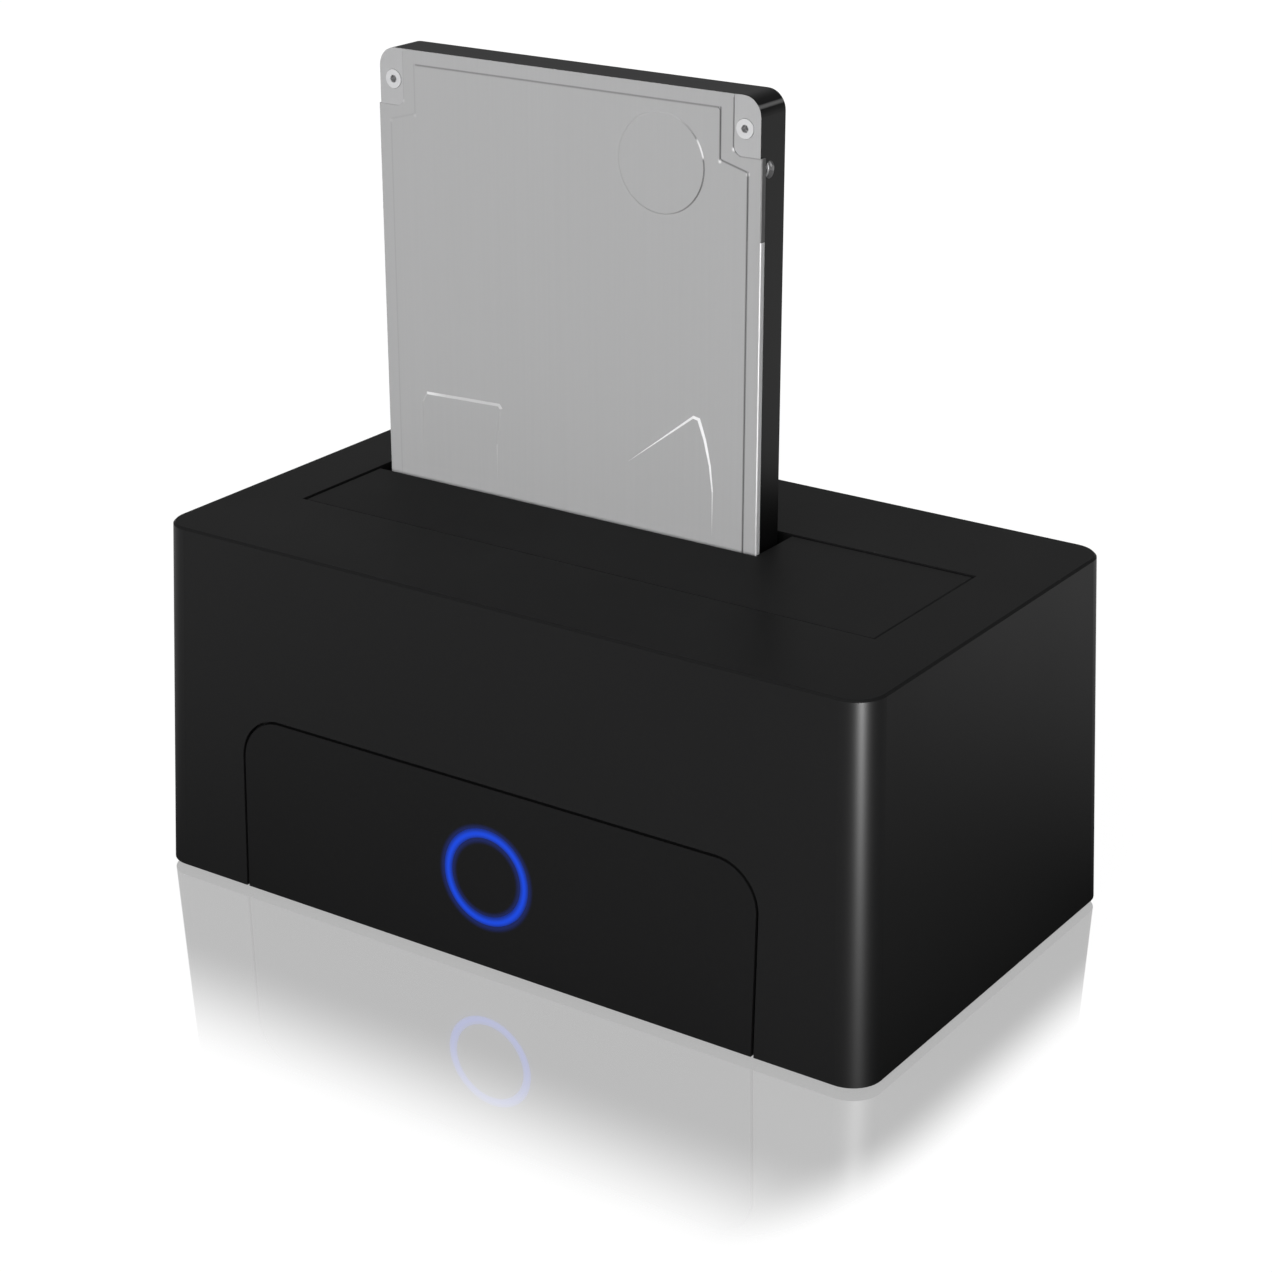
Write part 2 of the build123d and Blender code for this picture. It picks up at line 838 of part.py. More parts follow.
# Well: an open chute under the slot, with a floor, guides, ears and seats for the drives
with BuildPart() as drive_well:
    with BuildSketch(Plane.XY.offset(floor_under)):
        with Locations((0, (well_front + well_rear) / 2)):
            Rectangle(
                2 * (well_half_length + well_wall), well_rear - well_front + 2 * well_wall
            )
    extrude(amount=roof_under - floor_under)
    with BuildSketch(Plane.XY.offset(floor_top)):
        with Locations((0, (well_front + well_rear) / 2)):
            Rectangle(2 * well_half_length, well_rear - well_front)
    extrude(amount=roof_under - floor_top, mode=Mode.SUBTRACT)
    # Hole in the floor for the socket
    with BuildSketch(Plane.XY.offset(floor_under)):
        with Locations((plug_x, plug_y)):
            Rectangle(
                2 * (block_half_length + block_foot_end + block_clearance),
                2 * (block_foot_depth + block_clearance),
            )
    extrude(amount=floor_thickness, mode=Mode.SUBTRACT)
    # Rear guides behind the slim drive, full height
    with BuildSketch(Plane.XY.offset(floor_top)):
        with Locations(*[(x, well_rear) for x in rear_guides]):
            Rectangle(
                guide_width,
                well_rear - drive_rear - guide_gap,
                align=(Align.CENTER, Align.MAX),
            )
    extrude(amount=roof_under - guide_lead - floor_top)
    # Low rear guides for a thick drive, under the sweep of the flap
    with BuildSketch(Plane.XY.offset(floor_top)):
        with Locations(*[(x, well_rear) for x in low_guides]):
            Rectangle(
                guide_width,
                well_rear - drive_rear - guide_gap,
                align=(Align.CENTER, Align.MAX),
            )
    extrude(amount=low_guide_height)
    # Side guide at the drive's left edge
    with BuildSketch(Plane.XY.offset(floor_top)):
        with Locations((-well_half_length, (drive_front + drive_rear) / 2)):
            Rectangle(
                drive_left + well_half_length - guide_gap,
                drive_thickness,
                align=(Align.MIN, Align.CENTER),
            )
    extrude(amount=roof_under - guide_lead - floor_top)
    # Seats that the drives stand on
    with BuildSketch(Plane.XY.offset(floor_top)):
        with Locations(*[(x, (drive_front + drive_rear) / 2) for x in seat_places]):
            Rectangle(seat_length, drive_thickness - 2 * guide_gap)
    extrude(amount=drive_bottom - floor_top)
    # Bores for the hinge pin
    with BuildSketch(Plane.YZ.offset(-(well_half_length + well_wall + overrun))):
        with Locations((axis_y, axis_z)):
            Circle(pin_radius + pin_fit / 2)
    extrude(amount=2 * (well_half_length + well_wall + overrun), mode=Mode.SUBTRACT)
    # Ears that screw to the bosses of the housing
    for ear_y, inner_y in ((ear_front, well_front), (ear_rear, well_rear)):
        with BuildSketch(Plane.XY.offset(roof_under - ear_boss_height)):
            for ear_side in (-ear_x, ear_x):
                with Locations((ear_side, ear_y)):
                    Circle(ear_radius)
                with Locations((ear_side, (ear_y + inner_y) / 2)):
                    Rectangle(2 * ear_radius, abs(ear_y - inner_y) - well_wall / 2)
                with Locations((ear_side, ear_y)):
                    Circle(small_screw_radius + head_clearance, mode=Mode.SUBTRACT)
        extrude(amount=-ear_thickness)
save(drive_well, "drive_well")

ear_screw_plane = Plane(
    origin=(0, 0, roof_under - ear_boss_height - ear_thickness), x_dir=(1, 0, 0), z_dir=(0, 0, -1)
)
well_screws = screw_group(
    ear_screw_plane,
    [(x, -y) for x, y in ear_places],
    small_screw_radius,
    ear_thickness + small_screw_grip - pilot_clearance,
    small_head_radius,
    small_head_height,
    small_head_height / 2,
)
save(well_screws, "well_screws")


def segment_sketch(grow):
    """Outlines of the two L shaped tongues, grown all round."""
    for left, length in ((power_left, power_length), (signal_left, signal_length)):
        with Locations((left - grow, plug_y)):
            Rectangle(
                length + 2 * grow, tongue_thickness + 2 * grow, align=(Align.MIN, Align.CENTER)
            )
        with Locations((left - grow, plug_y + tongue_thickness / 2 - grow)):
            Rectangle(key_width + 2 * grow, key_depth + 2 * grow, align=(Align.MIN, Align.MIN))


# Socket block that the drive's plug slides onto, with two L shaped slots
with BuildPart() as drive_socket:
    with BuildSketch(Plane.XY.offset(board_top)):
        with Locations((plug_x, plug_y)):
            Rectangle(2 * (block_half_length + block_foot_end), 2 * block_foot_depth)
    extrude(amount=drive_bottom - block_foot_clearance - board_top)
    with BuildSketch(Plane.XY.offset(board_top)):
        with Locations((plug_x, plug_y)):
            Rectangle(2 * block_half_length, 2 * block_half_depth)
    extrude(amount=drive_bottom + tongue_depth - board_top)
    chamfer(drive_socket.edges().group_by(Axis.Z)[-1], edge_break)
    with BuildSketch(Plane.XY.offset(drive_bottom + tongue_depth)):
        segment_sketch(tongue_gap)
    extrude(amount=-(tongue_depth + tongue_gap), mode=Mode.SUBTRACT)
save(drive_socket, "drive_socket")


def contact_row(side_y, depth_align):
    """Thin contact strips at the standard pitch, on one side of side_y."""
    for left, length, count in (
        (power_left, power_length, power_contacts),
        (signal_left, signal_length, signal_contacts),
    ):
        middle = left + length - contact_edge - (count - 1) * contact_pitch / 2
        with Locations((middle, side_y)):
            with GridLocations(contact_pitch, 0, count, 1):
                Rectangle(contact_width, contact_depth, align=(Align.CENTER, depth_align))


with BuildPart() as socket_contacts:
    with BuildSketch(Plane.XY.offset(drive_bottom)):
        contact_row(plug_y - tongue_thickness / 2 - tongue_gap, Align.MIN)
    extrude(amount=tongue_depth - key_depth)
save(socket_contacts, "socket_contacts")

# Main board, its screws and the pins that carry the light board
with BuildPart() as main_board:
    with BuildSketch(Plane.XY.offset(board_bottom)):
        with Locations((0, (board_front + board_rear) / 2)):
            RectangleRounded(2 * board_half_length, board_rear - board_front, board_corner)
        with Locations(*standoff_places):
            Circle(small_screw_radius + head_clearance, mode=Mode.SUBTRACT)
    extrude(amount=board_thickness)
save(main_board, "main_board")

board_screws = screw_group(
    Plane.XY.offset(board_top),
    standoff_places,
    small_screw_radius,
    board_thickness + small_screw_grip - pilot_clearance,
    small_head_radius,
    small_head_height,
    small_head_height / 2,
)
save(board_screws, "board_screws")

with BuildPart() as led_header:
    with BuildSketch(Plane.XY.offset(board_top)):
        with Locations((0, header_front)):
            Rectangle(header_length, header_depth, align=(Align.CENTER, Align.MIN))
    extrude(amount=header_height)
    with BuildSketch(Plane.XZ.offset(-header_front)):
        with Locations((0, board_top + header_height / 2)):
            with GridLocations(header_pitch, 0, header_pins, 1):
                Rectangle(header_pin, header_pin)
    extrude(amount=header_front - led_board_back - board_gap)
save(led_header, "led_header")


def chip(name, place_x, place_y, length, depth, height, legs, from_z, up):
    """A flat chip body with a row of legs along both long sides."""
    with BuildPart() as body:
        with BuildSketch(Plane.XY.offset(from_z + up * chip_lift)):
            with Locations((place_x, place_y)):
                Rectangle(length, depth)
        extrude(amount=up * (height - chip_lift))
        with BuildSketch(Plane.XY.offset(from_z)):
            for side in (-1, 1):
                with Locations((place_x, place_y + side * (depth + chip_leg) / 2)):
                    with GridLocations(length / (legs + 1), 0, legs, 1):
                        Rectangle(chip_leg_width, chip_leg + chip_lift)
        extrude(amount=up * height / 2)
    save(body, name)


chip("bridge_chip", plug_x, bridge_y, bridge_size, bridge_size, chip_height, bridge_legs, board_bottom, -1)
chip("memory_chip", memory_x, bridge_y, memory_length, memory_depth, chip_height, memory_legs,
     board_bottom, -1)
chip("regulator_chip", regulator_x, parts_y, memory_length, memory_depth, chip_height, memory_legs,
     board_top, 1)

with BuildPart() as clock_crystal:
    with BuildSketch(Plane.XY.offset(board_bottom)):
        with Locations((crystal_x, bridge_y)):
            SlotOverall(crystal_length, crystal_width)
    extrude(amount=-crystal_height)
    chamfer(clock_crystal.edges().group_by(Axis.Z)[0], edge_break)
save(clock_crystal, "clock_crystal")

with BuildPart() as capacitors:
    with BuildSketch(Plane.XY.offset(board_top)):
        with Locations(*[(x, parts_y) for x in capacitor_places]):
            Rectangle(2 * capacitor_radius, 2 * capacitor_radius)
    extrude(amount=capacitor_foot)
    with BuildSketch(Plane.XY.offset(board_top + capacitor_foot)):
        with Locations(*[(x, parts_y) for x in capacitor_places]):
            Circle(capacitor_radius - edge_break)
    extrude(amount=capacitor_height - capacitor_foot)
    chamfer(capacitors.edges().group_by(Axis.Z)[-1], edge_break)
save(capacitors, "capacitors")

with BuildPart() as power_coil:
    with BuildSketch(Plane.XY.offset(board_top)):
        with Locations((coil_x, parts_y)):
            RectangleRounded(coil_size, coil_size, board_corner)
    extrude(amount=coil_height)
    chamfer(power_coil.edges().group_by(Axis.Z)[-1], edge_break)
save(power_coil, "power_coil")

# Data socket: a bent metal shell with two tongues inside
with BuildPart() as usb_socket:
    with BuildSketch(usb_plane):
        with BuildLine():
            Polyline(*usb_outline(0), close=True)
        make_face()
        with BuildLine():
            Polyline(*usb_outline(usb_skin), close=True)
        make_face(mode=Mode.SUBTRACT)
    extrude(amount=-usb_depth)
    with BuildSketch(usb_plane.offset(-(usb_depth - usb_skin))):
        with BuildLine():
            Polyline(*usb_outline(0), close=True)
        make_face()
    extrude(amount=-usb_skin)
save(usb_socket, "usb_socket")

with BuildPart() as usb_tongues:
    with BuildSketch(usb_plane.offset(-(usb_depth - usb_skin))):
        with Locations((0, usb_low_tongue)):
            Rectangle(usb_low_width, usb_low_height)
        with Locations((0, usb_high_tongue)):
            Rectangle(usb_high_width, usb_high_height)
    extrude(amount=usb_tongue_length)
save(usb_tongues, "usb_tongues")

# Power inlet: a moulded block with a round bore and a pin in its middle
with BuildPart() as power_inlet:
    with BuildSketch(jack_plane):
        with Locations((0, jack_height / 2)):
            RectangleRounded(jack_width, jack_height, jack_corner)
    extrude(amount=-jack_depth)
    with BuildSketch(jack_plane):
        with Locations((0, jack_height / 2)):
            Circle(jack_bore_radius)
    extrude(amount=-jack_bore_depth, mode=Mode.SUBTRACT)
save(power_inlet, "power_inlet")

with BuildPart() as inlet_pin:
    with BuildSketch(jack_plane.offset(-jack_bore_depth)):
        with Locations((0, jack_height / 2)):
            Circle(jack_pin_radius)
    extrude(amount=jack_bore_depth - jack_pin_recess)
    chamfer(inlet_pin.edges().group_by(Axis.Y)[-1], edge_break)
save(inlet_pin, "inlet_pin")

# Power switch: a framed body in the back wall and a rocker that tips in it
with BuildPart() as switch_body:
    with BuildSketch(switch_plane.offset(bezel_proud)):
        RectangleRounded(bezel_width, bezel_height, bezel_corner)
    extrude(amount=-bezel_thickness)
    with BuildSketch(switch_plane):
        Rectangle(switch_width, switch_height)
    extrude(amount=-switch_depth)
    with BuildSketch(switch_plane.offset(bezel_proud)):
        Rectangle(2 * rocker_well, rocker_height + 2 * rocker_gap)
    extrude(amount=-(bezel_proud + rocker_well_depth), mode=Mode.SUBTRACT)
    with BuildSketch(rocker_section):
        with Locations((0, -rocker_pivot_depth)):
            Circle(stub_radius + pin_fit)
    extrude(amount=switch_height, both=True, mode=Mode.SUBTRACT)
save(switch_body, "switch_body")


def tipped(across, out):
    """Point of the rocker's profile about its pivot, tipped to the ON side."""
    angle = math.radians(-rocker_throw / 2)
    return (
        across * math.cos(angle) - out * math.sin(angle),
        across * math.sin(angle) + out * math.cos(angle) - rocker_pivot_depth,
    )


rocker_end = math.sqrt(rocker_radius**2 - rocker_end_rise**2)
rocker_mid = math.sqrt(rocker_radius**2 - (rocker_end_rise / 2) ** 2)
with BuildPart() as power_rocker:
    with BuildSketch(rocker_section):
        with BuildLine():
            Polyline(
                tipped(-rocker_end, rocker_end_rise),
                tipped(0, rocker_valley_rise),
                tipped(rocker_end, rocker_end_rise),
            )
            ThreePointArc(
                tipped(rocker_end, rocker_end_rise),
                tipped(rocker_mid, rocker_end_rise / 2),
                tipped(rocker_radius, 0),
            )
            Polyline(
                tipped(rocker_radius, 0),
                tipped(rocker_keel_width / 2, -rocker_keel),
                tipped(-rocker_keel_width / 2, -rocker_keel),
                tipped(-rocker_radius, 0),
            )
            ThreePointArc(
                tipped(-rocker_radius, 0),
                tipped(-rocker_mid, rocker_end_rise / 2),
                tipped(-rocker_end, rocker_end_rise),
            )
        make_face()
    extrude(amount=rocker_height / 2, both=True)
    with BuildSketch(rocker_section):
        with Locations((0, -rocker_pivot_depth)):
            Circle(stub_radius)
    extrude(amount=switch_height / 2 - stub_gap, both=True)
save(power_rocker, "power_rocker")

with BuildPart() as switch_terminals:
    with BuildSketch(switch_plane.offset(-switch_depth)):
        with GridLocations(terminal_spacing, 0, 2, 1):
            Rectangle(terminal_width, terminal_thickness)
    extrude(amount=-terminal_reach)
    with BuildSketch(Plane.XY.offset(board_top)):
        with Locations((switch_x, terminal_y + terminal_thickness / 2)):
            with GridLocations(terminal_spacing, 0, 2, 1):
                Rectangle(terminal_width, terminal_thickness)
    extrude(amount=terminal_z - board_top)
save(switch_terminals, "switch_terminals")

# Drive: casting, cover, screws, board, plug and motor, all standing on the drive's lower edge
casting_front = drive_front + cover_rise + cover_sheet / 2
cover_front = drive_front + cover_rise
drive_face = Plane(origin=(drive_left, drive_front, drive_top), x_dir=(1, 0, 0), z_dir=(0, -1, 0))
cover_face = drive_face.offset(-cover_rise)
casting_face = drive_face.offset(drive_front - casting_front)
drive_back = Plane(origin=(drive_right, drive_rear, drive_top), x_dir=(-1, 0, 0), z_dir=(0, 1, 0))
drive_screw_places = [
    (across, down)
    for across in (drive_screw_inset, drive_width - drive_screw_inset)
    for down in (-drive_screw_down, drive_screw_low - drive_length)
]
plug_half_length = block_half_length + block_clearance + plug_wall
plug_half_depth = block_half_depth + block_clearance + plug_wall / 2
panel_face = drive_face.offset(-emboss)
board_bottom_down = drive_length - drive_board_foot



def emboss_form(point_shares, peak):
    """Low form on the cover that fades out along the line from its last point to its first."""
    points = [(across * drive_width, -down * drive_length) for across, down in point_shares]
    foot, end = (panel_face.from_local_coords((x, y, 0)) for x, y in (points[0], points[-1]))
    high = panel_face.from_local_coords((*points[peak], emboss))
    slope = Plane(origin=foot, x_dir=end - foot, z_dir=(end - foot).cross(high - foot))
    with BuildPart() as form:
        with BuildSketch(panel_face) as outline:
            with BuildLine():
                Polyline(*points, close=True)
            make_face()
        extrude(amount=emboss, taper=emboss_taper)
        extrude(outline.sketch, amount=-emboss / 2)
        split(bisect_by=slope, keep=Keep.BOTTOM)
    return form.part


with BuildPart() as drive_base:
    with BuildSketch(casting_face) as outline:
        with Locations((drive_width / 2, 0)):
            Rectangle(
                drive_width - 2 * (roll_width + roll_gap), drive_length, align=(Align.CENTER, Align.MAX)
            )
        fillet(outline.vertices().group_by(Axis.Y)[-1], drive_corner)
        fillet(outline.vertices().group_by(Axis.Y)[0], drive_foot_corner)
    extrude(amount=-(drive_rear - casting_front))
    # Pocket for the plug in the lower edge
    with BuildSketch(Plane.XY.offset(drive_bottom)):
        with Locations((plug_x, plug_y)):
            Rectangle(2 * (plug_half_length + plug_gap), 2 * (plug_half_depth + plug_gap))
    extrude(amount=plug_height + plug_gap, mode=Mode.SUBTRACT)
    # Shallow bay for the board and round bay for the motor at the back
    with BuildSketch(drive_back):
        with Locations((drive_board_inset, -board_bottom_down)):
            Rectangle(
                drive_width - 2 * drive_board_inset, drive_board_height, align=(Align.MIN, Align.MIN)
            )
    extrude(amount=-drive_board_recess, mode=Mode.SUBTRACT)
    with BuildSketch(drive_back):
        with Locations((drive_width / 2, -motor_down)):
            Circle(motor_radius + motor_gap)
    extrude(amount=-(motor_depth + motor_gap), mode=Mode.SUBTRACT)
    # Threaded holes in both long edges
    for edge_x, way in ((drive_left, 1), (drive_right, -1)):
        with BuildSketch(Plane.YZ.offset(edge_x)):
            for height in (drive_top - side_hole_down, drive_bottom + side_hole_up):
                with Locations((drive_front + side_hole_back, height)):
                    Circle(side_hole_radius)
        extrude(amount=way * side_hole_depth, mode=Mode.SUBTRACT)
    # Holes for the cover screws
    with BuildSketch(casting_face):
        with Locations(*drive_screw_places):
            Circle(drive_screw_radius + pilot_clearance)
    extrude(amount=-drive_screw_grip, mode=Mode.SUBTRACT)
    with BuildSketch(casting_face):
        with Locations(*drive_screw_places):
            Circle(drive_screw_head + pilot_clearance)
    extrude(amount=-drive_screw_recess, mode=Mode.SUBTRACT)
save(drive_base, "drive_base")

with BuildPart() as drive_cover:
    with BuildSketch(cover_face) as sheet:
        with Locations((drive_width / 2, 0)):
            Rectangle(
                drive_width - 2 * (roll_width - roll_gap), drive_length, align=(Align.CENTER, Align.MAX)
            )
        fillet(sheet.vertices().group_by(Axis.Y)[0], drive_foot_corner)
    extrude(amount=-cover_sheet / 2)
    # Cut back round the two upper screws
    with BuildSketch(cover_face) as tabs:
        Rectangle(tab_width, tab_depth, align=(Align.MIN, Align.MAX))
        with Locations((drive_width, 0)):
            Rectangle(tab_width, tab_depth, align=(Align.MAX, Align.MAX))
        fillet(tabs.vertices().group_by(Axis.Y)[0].sort_by(Axis.X)[1:3], tab_corner)
    extrude(amount=-cover_sheet, mode=Mode.SUBTRACT)
    # Sides rolled back over the casting's long edges
    with BuildSketch(Plane.XY.offset(drive_bottom + roll_foot)) as rolls:
        for edge_x, side in ((drive_left, Align.MIN), (drive_right, Align.MAX)):
            with Locations((edge_x, cover_front)):
                Rectangle(roll_width, roll_depth, align=(side, Align.MIN))
        front_corners = rolls.vertices().group_by(Axis.Y)[0].sort_by(Axis.X)
        fillet([front_corners[0], front_corners[-1]], roll_width - roll_gap)
    extrude(amount=drive_length - roll_foot - tab_depth)
    with BuildSketch(cover_face) as raised:
        with BuildLine():
            Polyline(
                (raised_tab_inset, -raised_top),
                (drive_width - raised_tab_inset, -raised_top),
                (drive_width - raised_tab_inset, -raised_tab_depth),
                (drive_width - raised_inset, -raised_tab_depth - raised_step),
                (drive_width - raised_inset, raised_foot - drive_length),
                (raised_inset, raised_foot - drive_length),
                (raised_inset, -raised_tab_depth - raised_step),
                (raised_tab_inset, -raised_tab_depth),
                close=True,
            )
        make_face()
        fillet(raised.vertices(), raised_corner)
    extrude(amount=cover_rise - emboss)
    with BuildSketch(panel_face):
        with Locations((drive_width - disc_inset, -disc_down)):
            Circle(disc_radius)
    extrude(amount=emboss / 2, taper=emboss_taper)
    add(emboss_form(pad_shares, 3))
    add(emboss_form(peak_shares, 2))
    # Holes round the two lower screws
    with BuildSketch(drive_face):
        with Locations(*drive_screw_places[1::2]):
            Circle(drive_screw_head + head_clearance)
    extrude(amount=-(cover_rise + cover_sheet), mode=Mode.SUBTRACT)
save(drive_cover, "drive_cover")

drive_screws = screw_group(
    casting_face.offset(-drive_screw_recess),
    drive_screw_places,
    drive_screw_radius,
    drive_screw_grip - drive_screw_recess,
    drive_screw_head,
    cover_rise,
    drive_socket_depth,
)
save(drive_screws, "drive_screws")

with BuildPart() as drive_board:
    with BuildSketch(drive_back.offset(-(drive_board_recess - drive_board_thickness))):
        with Locations((drive_board_inset + plug_gap, plug_gap - board_bottom_down)):
            Rectangle(
                drive_width - 2 * (drive_board_inset + plug_gap),
                drive_board_height - 2 * plug_gap,
                align=(Align.MIN, Align.MIN),
            )
        with Locations((drive_width / 2, -motor_down)):
            Circle(motor_radius + motor_ring, mode=Mode.SUBTRACT)
    extrude(amount=-drive_board_thickness)
save(drive_board, "drive_board")

with BuildPart() as drive_motor:
    with BuildSketch(drive_back.offset(-motor_depth)):
        with Locations((drive_width / 2, -motor_down)):
            Circle(motor_radius)
    extrude(amount=motor_depth / 2)
    with BuildSketch(drive_back.offset(-motor_depth)):
        with Locations((drive_width / 2, -motor_down)):
            Circle(motor_radius)
            Circle(motor_radius - motor_ring, mode=Mode.SUBTRACT)
            Circle(motor_hub_radius)
    extrude(amount=motor_depth - motor_gap)
save(drive_motor, "drive_motor")

with BuildPart() as drive_plug:
    with BuildSketch(Plane.XY.offset(drive_bottom + plug_inset)):
        with Locations((plug_x, plug_y)):
            Rectangle(2 * plug_half_length, 2 * plug_half_depth)
    extrude(amount=plug_height - plug_inset)
    with BuildSketch(Plane.XY.offset(drive_bottom)):
        with Locations((plug_x, plug_y)):
            Rectangle(
                2 * (block_half_length + block_clearance), 2 * (block_half_depth + block_clearance)
            )
    extrude(amount=tongue_depth + plug_cavity_gap, mode=Mode.SUBTRACT)
    with BuildSketch(Plane.XY.offset(drive_bottom + plug_inset)):
        segment_sketch(0)
    extrude(amount=tongue_depth + plug_cavity_gap)
save(drive_plug, "drive_plug")

with BuildPart() as plug_contacts:
    with BuildSketch(Plane.XY.offset(drive_bottom + 2 * plug_inset)):
        contact_row(plug_y - tongue_thickness / 2, Align.MAX)
    extrude(amount=tongue_depth - key_depth)
save(plug_contacts, "plug_contacts")
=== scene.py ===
# %% [markdown]
# # A docking station with a drive standing in it
#
# The frame holds every rigid piece of the dock and of the drive, at its real size in
# metres. This lesson dresses that frame: it gives each piece the finish of the real one,
# adds the small pieces that are easier as meshes, and sets up a plain studio.

# %% Load the frame
import math

import bmesh
import bpy
from mathutils import Matrix, Vector


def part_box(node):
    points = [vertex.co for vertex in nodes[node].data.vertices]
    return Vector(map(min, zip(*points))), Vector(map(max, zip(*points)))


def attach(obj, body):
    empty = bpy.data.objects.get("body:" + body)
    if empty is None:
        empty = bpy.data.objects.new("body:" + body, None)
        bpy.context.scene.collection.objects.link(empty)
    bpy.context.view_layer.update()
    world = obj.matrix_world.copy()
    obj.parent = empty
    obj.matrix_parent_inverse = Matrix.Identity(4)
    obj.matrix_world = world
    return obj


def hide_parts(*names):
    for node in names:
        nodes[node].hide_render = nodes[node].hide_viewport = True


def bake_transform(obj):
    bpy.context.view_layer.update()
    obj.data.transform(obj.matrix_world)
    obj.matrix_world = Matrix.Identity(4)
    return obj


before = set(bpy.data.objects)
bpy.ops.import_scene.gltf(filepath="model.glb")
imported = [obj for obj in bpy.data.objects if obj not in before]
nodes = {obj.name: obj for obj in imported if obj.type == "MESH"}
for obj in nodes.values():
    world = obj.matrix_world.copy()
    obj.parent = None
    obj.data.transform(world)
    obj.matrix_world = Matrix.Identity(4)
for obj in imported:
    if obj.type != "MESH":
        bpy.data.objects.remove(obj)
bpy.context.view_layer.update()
MM = 0.001
print("pieces from the frame:", len(nodes))

# %% [markdown]
# ## The camera
#
# The viewing angle was worked out from the edges of the dock: the camera stands to the
# right of the front, 34.4 degrees round, and looks down by 22.1 degrees. A long lens keeps
# the verticals nearly parallel. The camera comes first, so that every later choice can be
# judged in the same view.

# %% Set up the camera
CAMERA_TURN = math.radians(34.41)
CAMERA_TILT = math.radians(22.13)
CAMERA_PLACE = (0.23374, -0.33903, 0.20921)
LENS = 81.63
SENSOR_WIDTH = 36
NEAREST = 0.01


def link_object(name, data):
    """Put an object into the scene."""
    item = bpy.data.objects.new(name, data)
    bpy.context.scene.collection.objects.link(item)
    return item


camera_data = bpy.data.cameras.new("camera")
camera_data.lens = LENS
camera_data.sensor_width = SENSOR_WIDTH
camera_data.clip_start = NEAREST
camera = link_object("camera", camera_data)
camera.location = CAMERA_PLACE
camera.rotation_euler = (math.pi / 2 - CAMERA_TILT, 0, CAMERA_TURN)
bpy.context.scene.camera = camera
bpy.context.scene.view_settings.view_transform = "Standard"
print("camera lens:", camera_data.lens)

# %% [markdown]
# ## Building materials from nodes
#
# A material here is a short chain of nodes. One helper adds a node to a tree and wires it,
# and a few more name the steps that come up often: a sum, a vector step, a change of range
# and a mix of two colours. Plain numbers go on the sockets, and sockets are linked.


# %% Helpers for node trees
class Nodes:
    """A node tree, with short calls to add nodes to it."""

    def __init__(self, tree):
        self.tree = tree

    def add(self, kind, inputs=None, **settings):
        """A node with its settings, and with its inputs linked or set to plain values."""
        node = self.tree.nodes.new(kind)
        for name, value in settings.items():
            setattr(node, name, value)
        for name, value in (inputs or {}).items():
            if isinstance(value, bpy.types.NodeSocket):
                self.tree.links.new(value, node.inputs[name])
            else:
                node.inputs[name].default_value = value
        return node

    def math(self, operation, first, second=0.0, third=0.0):
        inputs = {0: first, 1: second, 2: third}
        return self.add("ShaderNodeMath", inputs, operation=operation).outputs[0]

    def vector(self, operation, first, second=(0, 0, 0)):
        inputs = {0: first, 1: second}
        return self.add("ShaderNodeVectorMath", inputs, operation=operation).outputs["Vector"]

    def measure(self, operation, first, second=(0, 0, 0)):
        inputs = {0: first, 1: second}
        return self.add("ShaderNodeVectorMath", inputs, operation=operation).outputs["Value"]

    def scaled(self, value, factor):
        inputs = {0: value, "Scale": factor}
        return self.add("ShaderNodeVectorMath", inputs, operation="SCALE").outputs["Vector"]

    def axes(self, value):
        return self.add("ShaderNodeSeparateXYZ", {0: value}).outputs

    def ranged(self, value, start, end, low=0.0, high=1.0, curve="LINEAR"):
        """Change of range: the value at start gives low, and at end gives high."""
        inputs = {
            "Value": value, "From Min": start, "From Max": end, "To Min": low, "To Max": high,
        }
        node = self.add("ShaderNodeMapRange", inputs, interpolation_type=curve)
        return node.outputs["Result"]

    def mixed(self, share, first, second):
        """Two colours mixed by a share."""
        inputs = {0: share, 6: first, 7: second}
        return self.add("ShaderNodeMix", inputs, data_type="RGBA").outputs[2]

    def strongest(self, *values):
        """The highest of several masks."""
        result = values[0]
        for value in values[1:]:
            result = self.math("MAXIMUM", result, value)
        return result

    def use(self, group, inputs):
        return self.add("ShaderNodeGroup", inputs, node_tree=group).outputs


print("node helpers ready")

# %% [markdown]
# An effect that several finishes share is a node group. It is made with named sockets, and
# each finish puts its own values on them.

# %% Helpers for node groups
NUMBER, VECTOR, COLOR = "NodeSocketFloat", "NodeSocketVector", "NodeSocketColor"
SURFACE = {"Color": COLOR, "Roughness": NUMBER, "Normal": VECTOR}


def new_group(name, inputs, outputs):
    """An empty node group with named sockets, and what comes into it."""
    group = bpy.data.node_groups.new(name, "ShaderNodeTree")
    for label, (kind, value) in inputs.items():
        socket = group.interface.new_socket(label, in_out="INPUT", socket_type=kind)
        if value is not None:
            socket.default_value = value
    for label, kind in outputs.items():
        group.interface.new_socket(label, in_out="OUTPUT", socket_type=kind)
    inner = Nodes(group)
    return inner, inner.add("NodeGroupInput").outputs


print("a surface group puts out:", ", ".join(SURFACE))

# %% [markdown]
# A finish is a material with its Principled shader. Its plain numbers are set on the
# shader's own sockets, and patterns are fed into them.


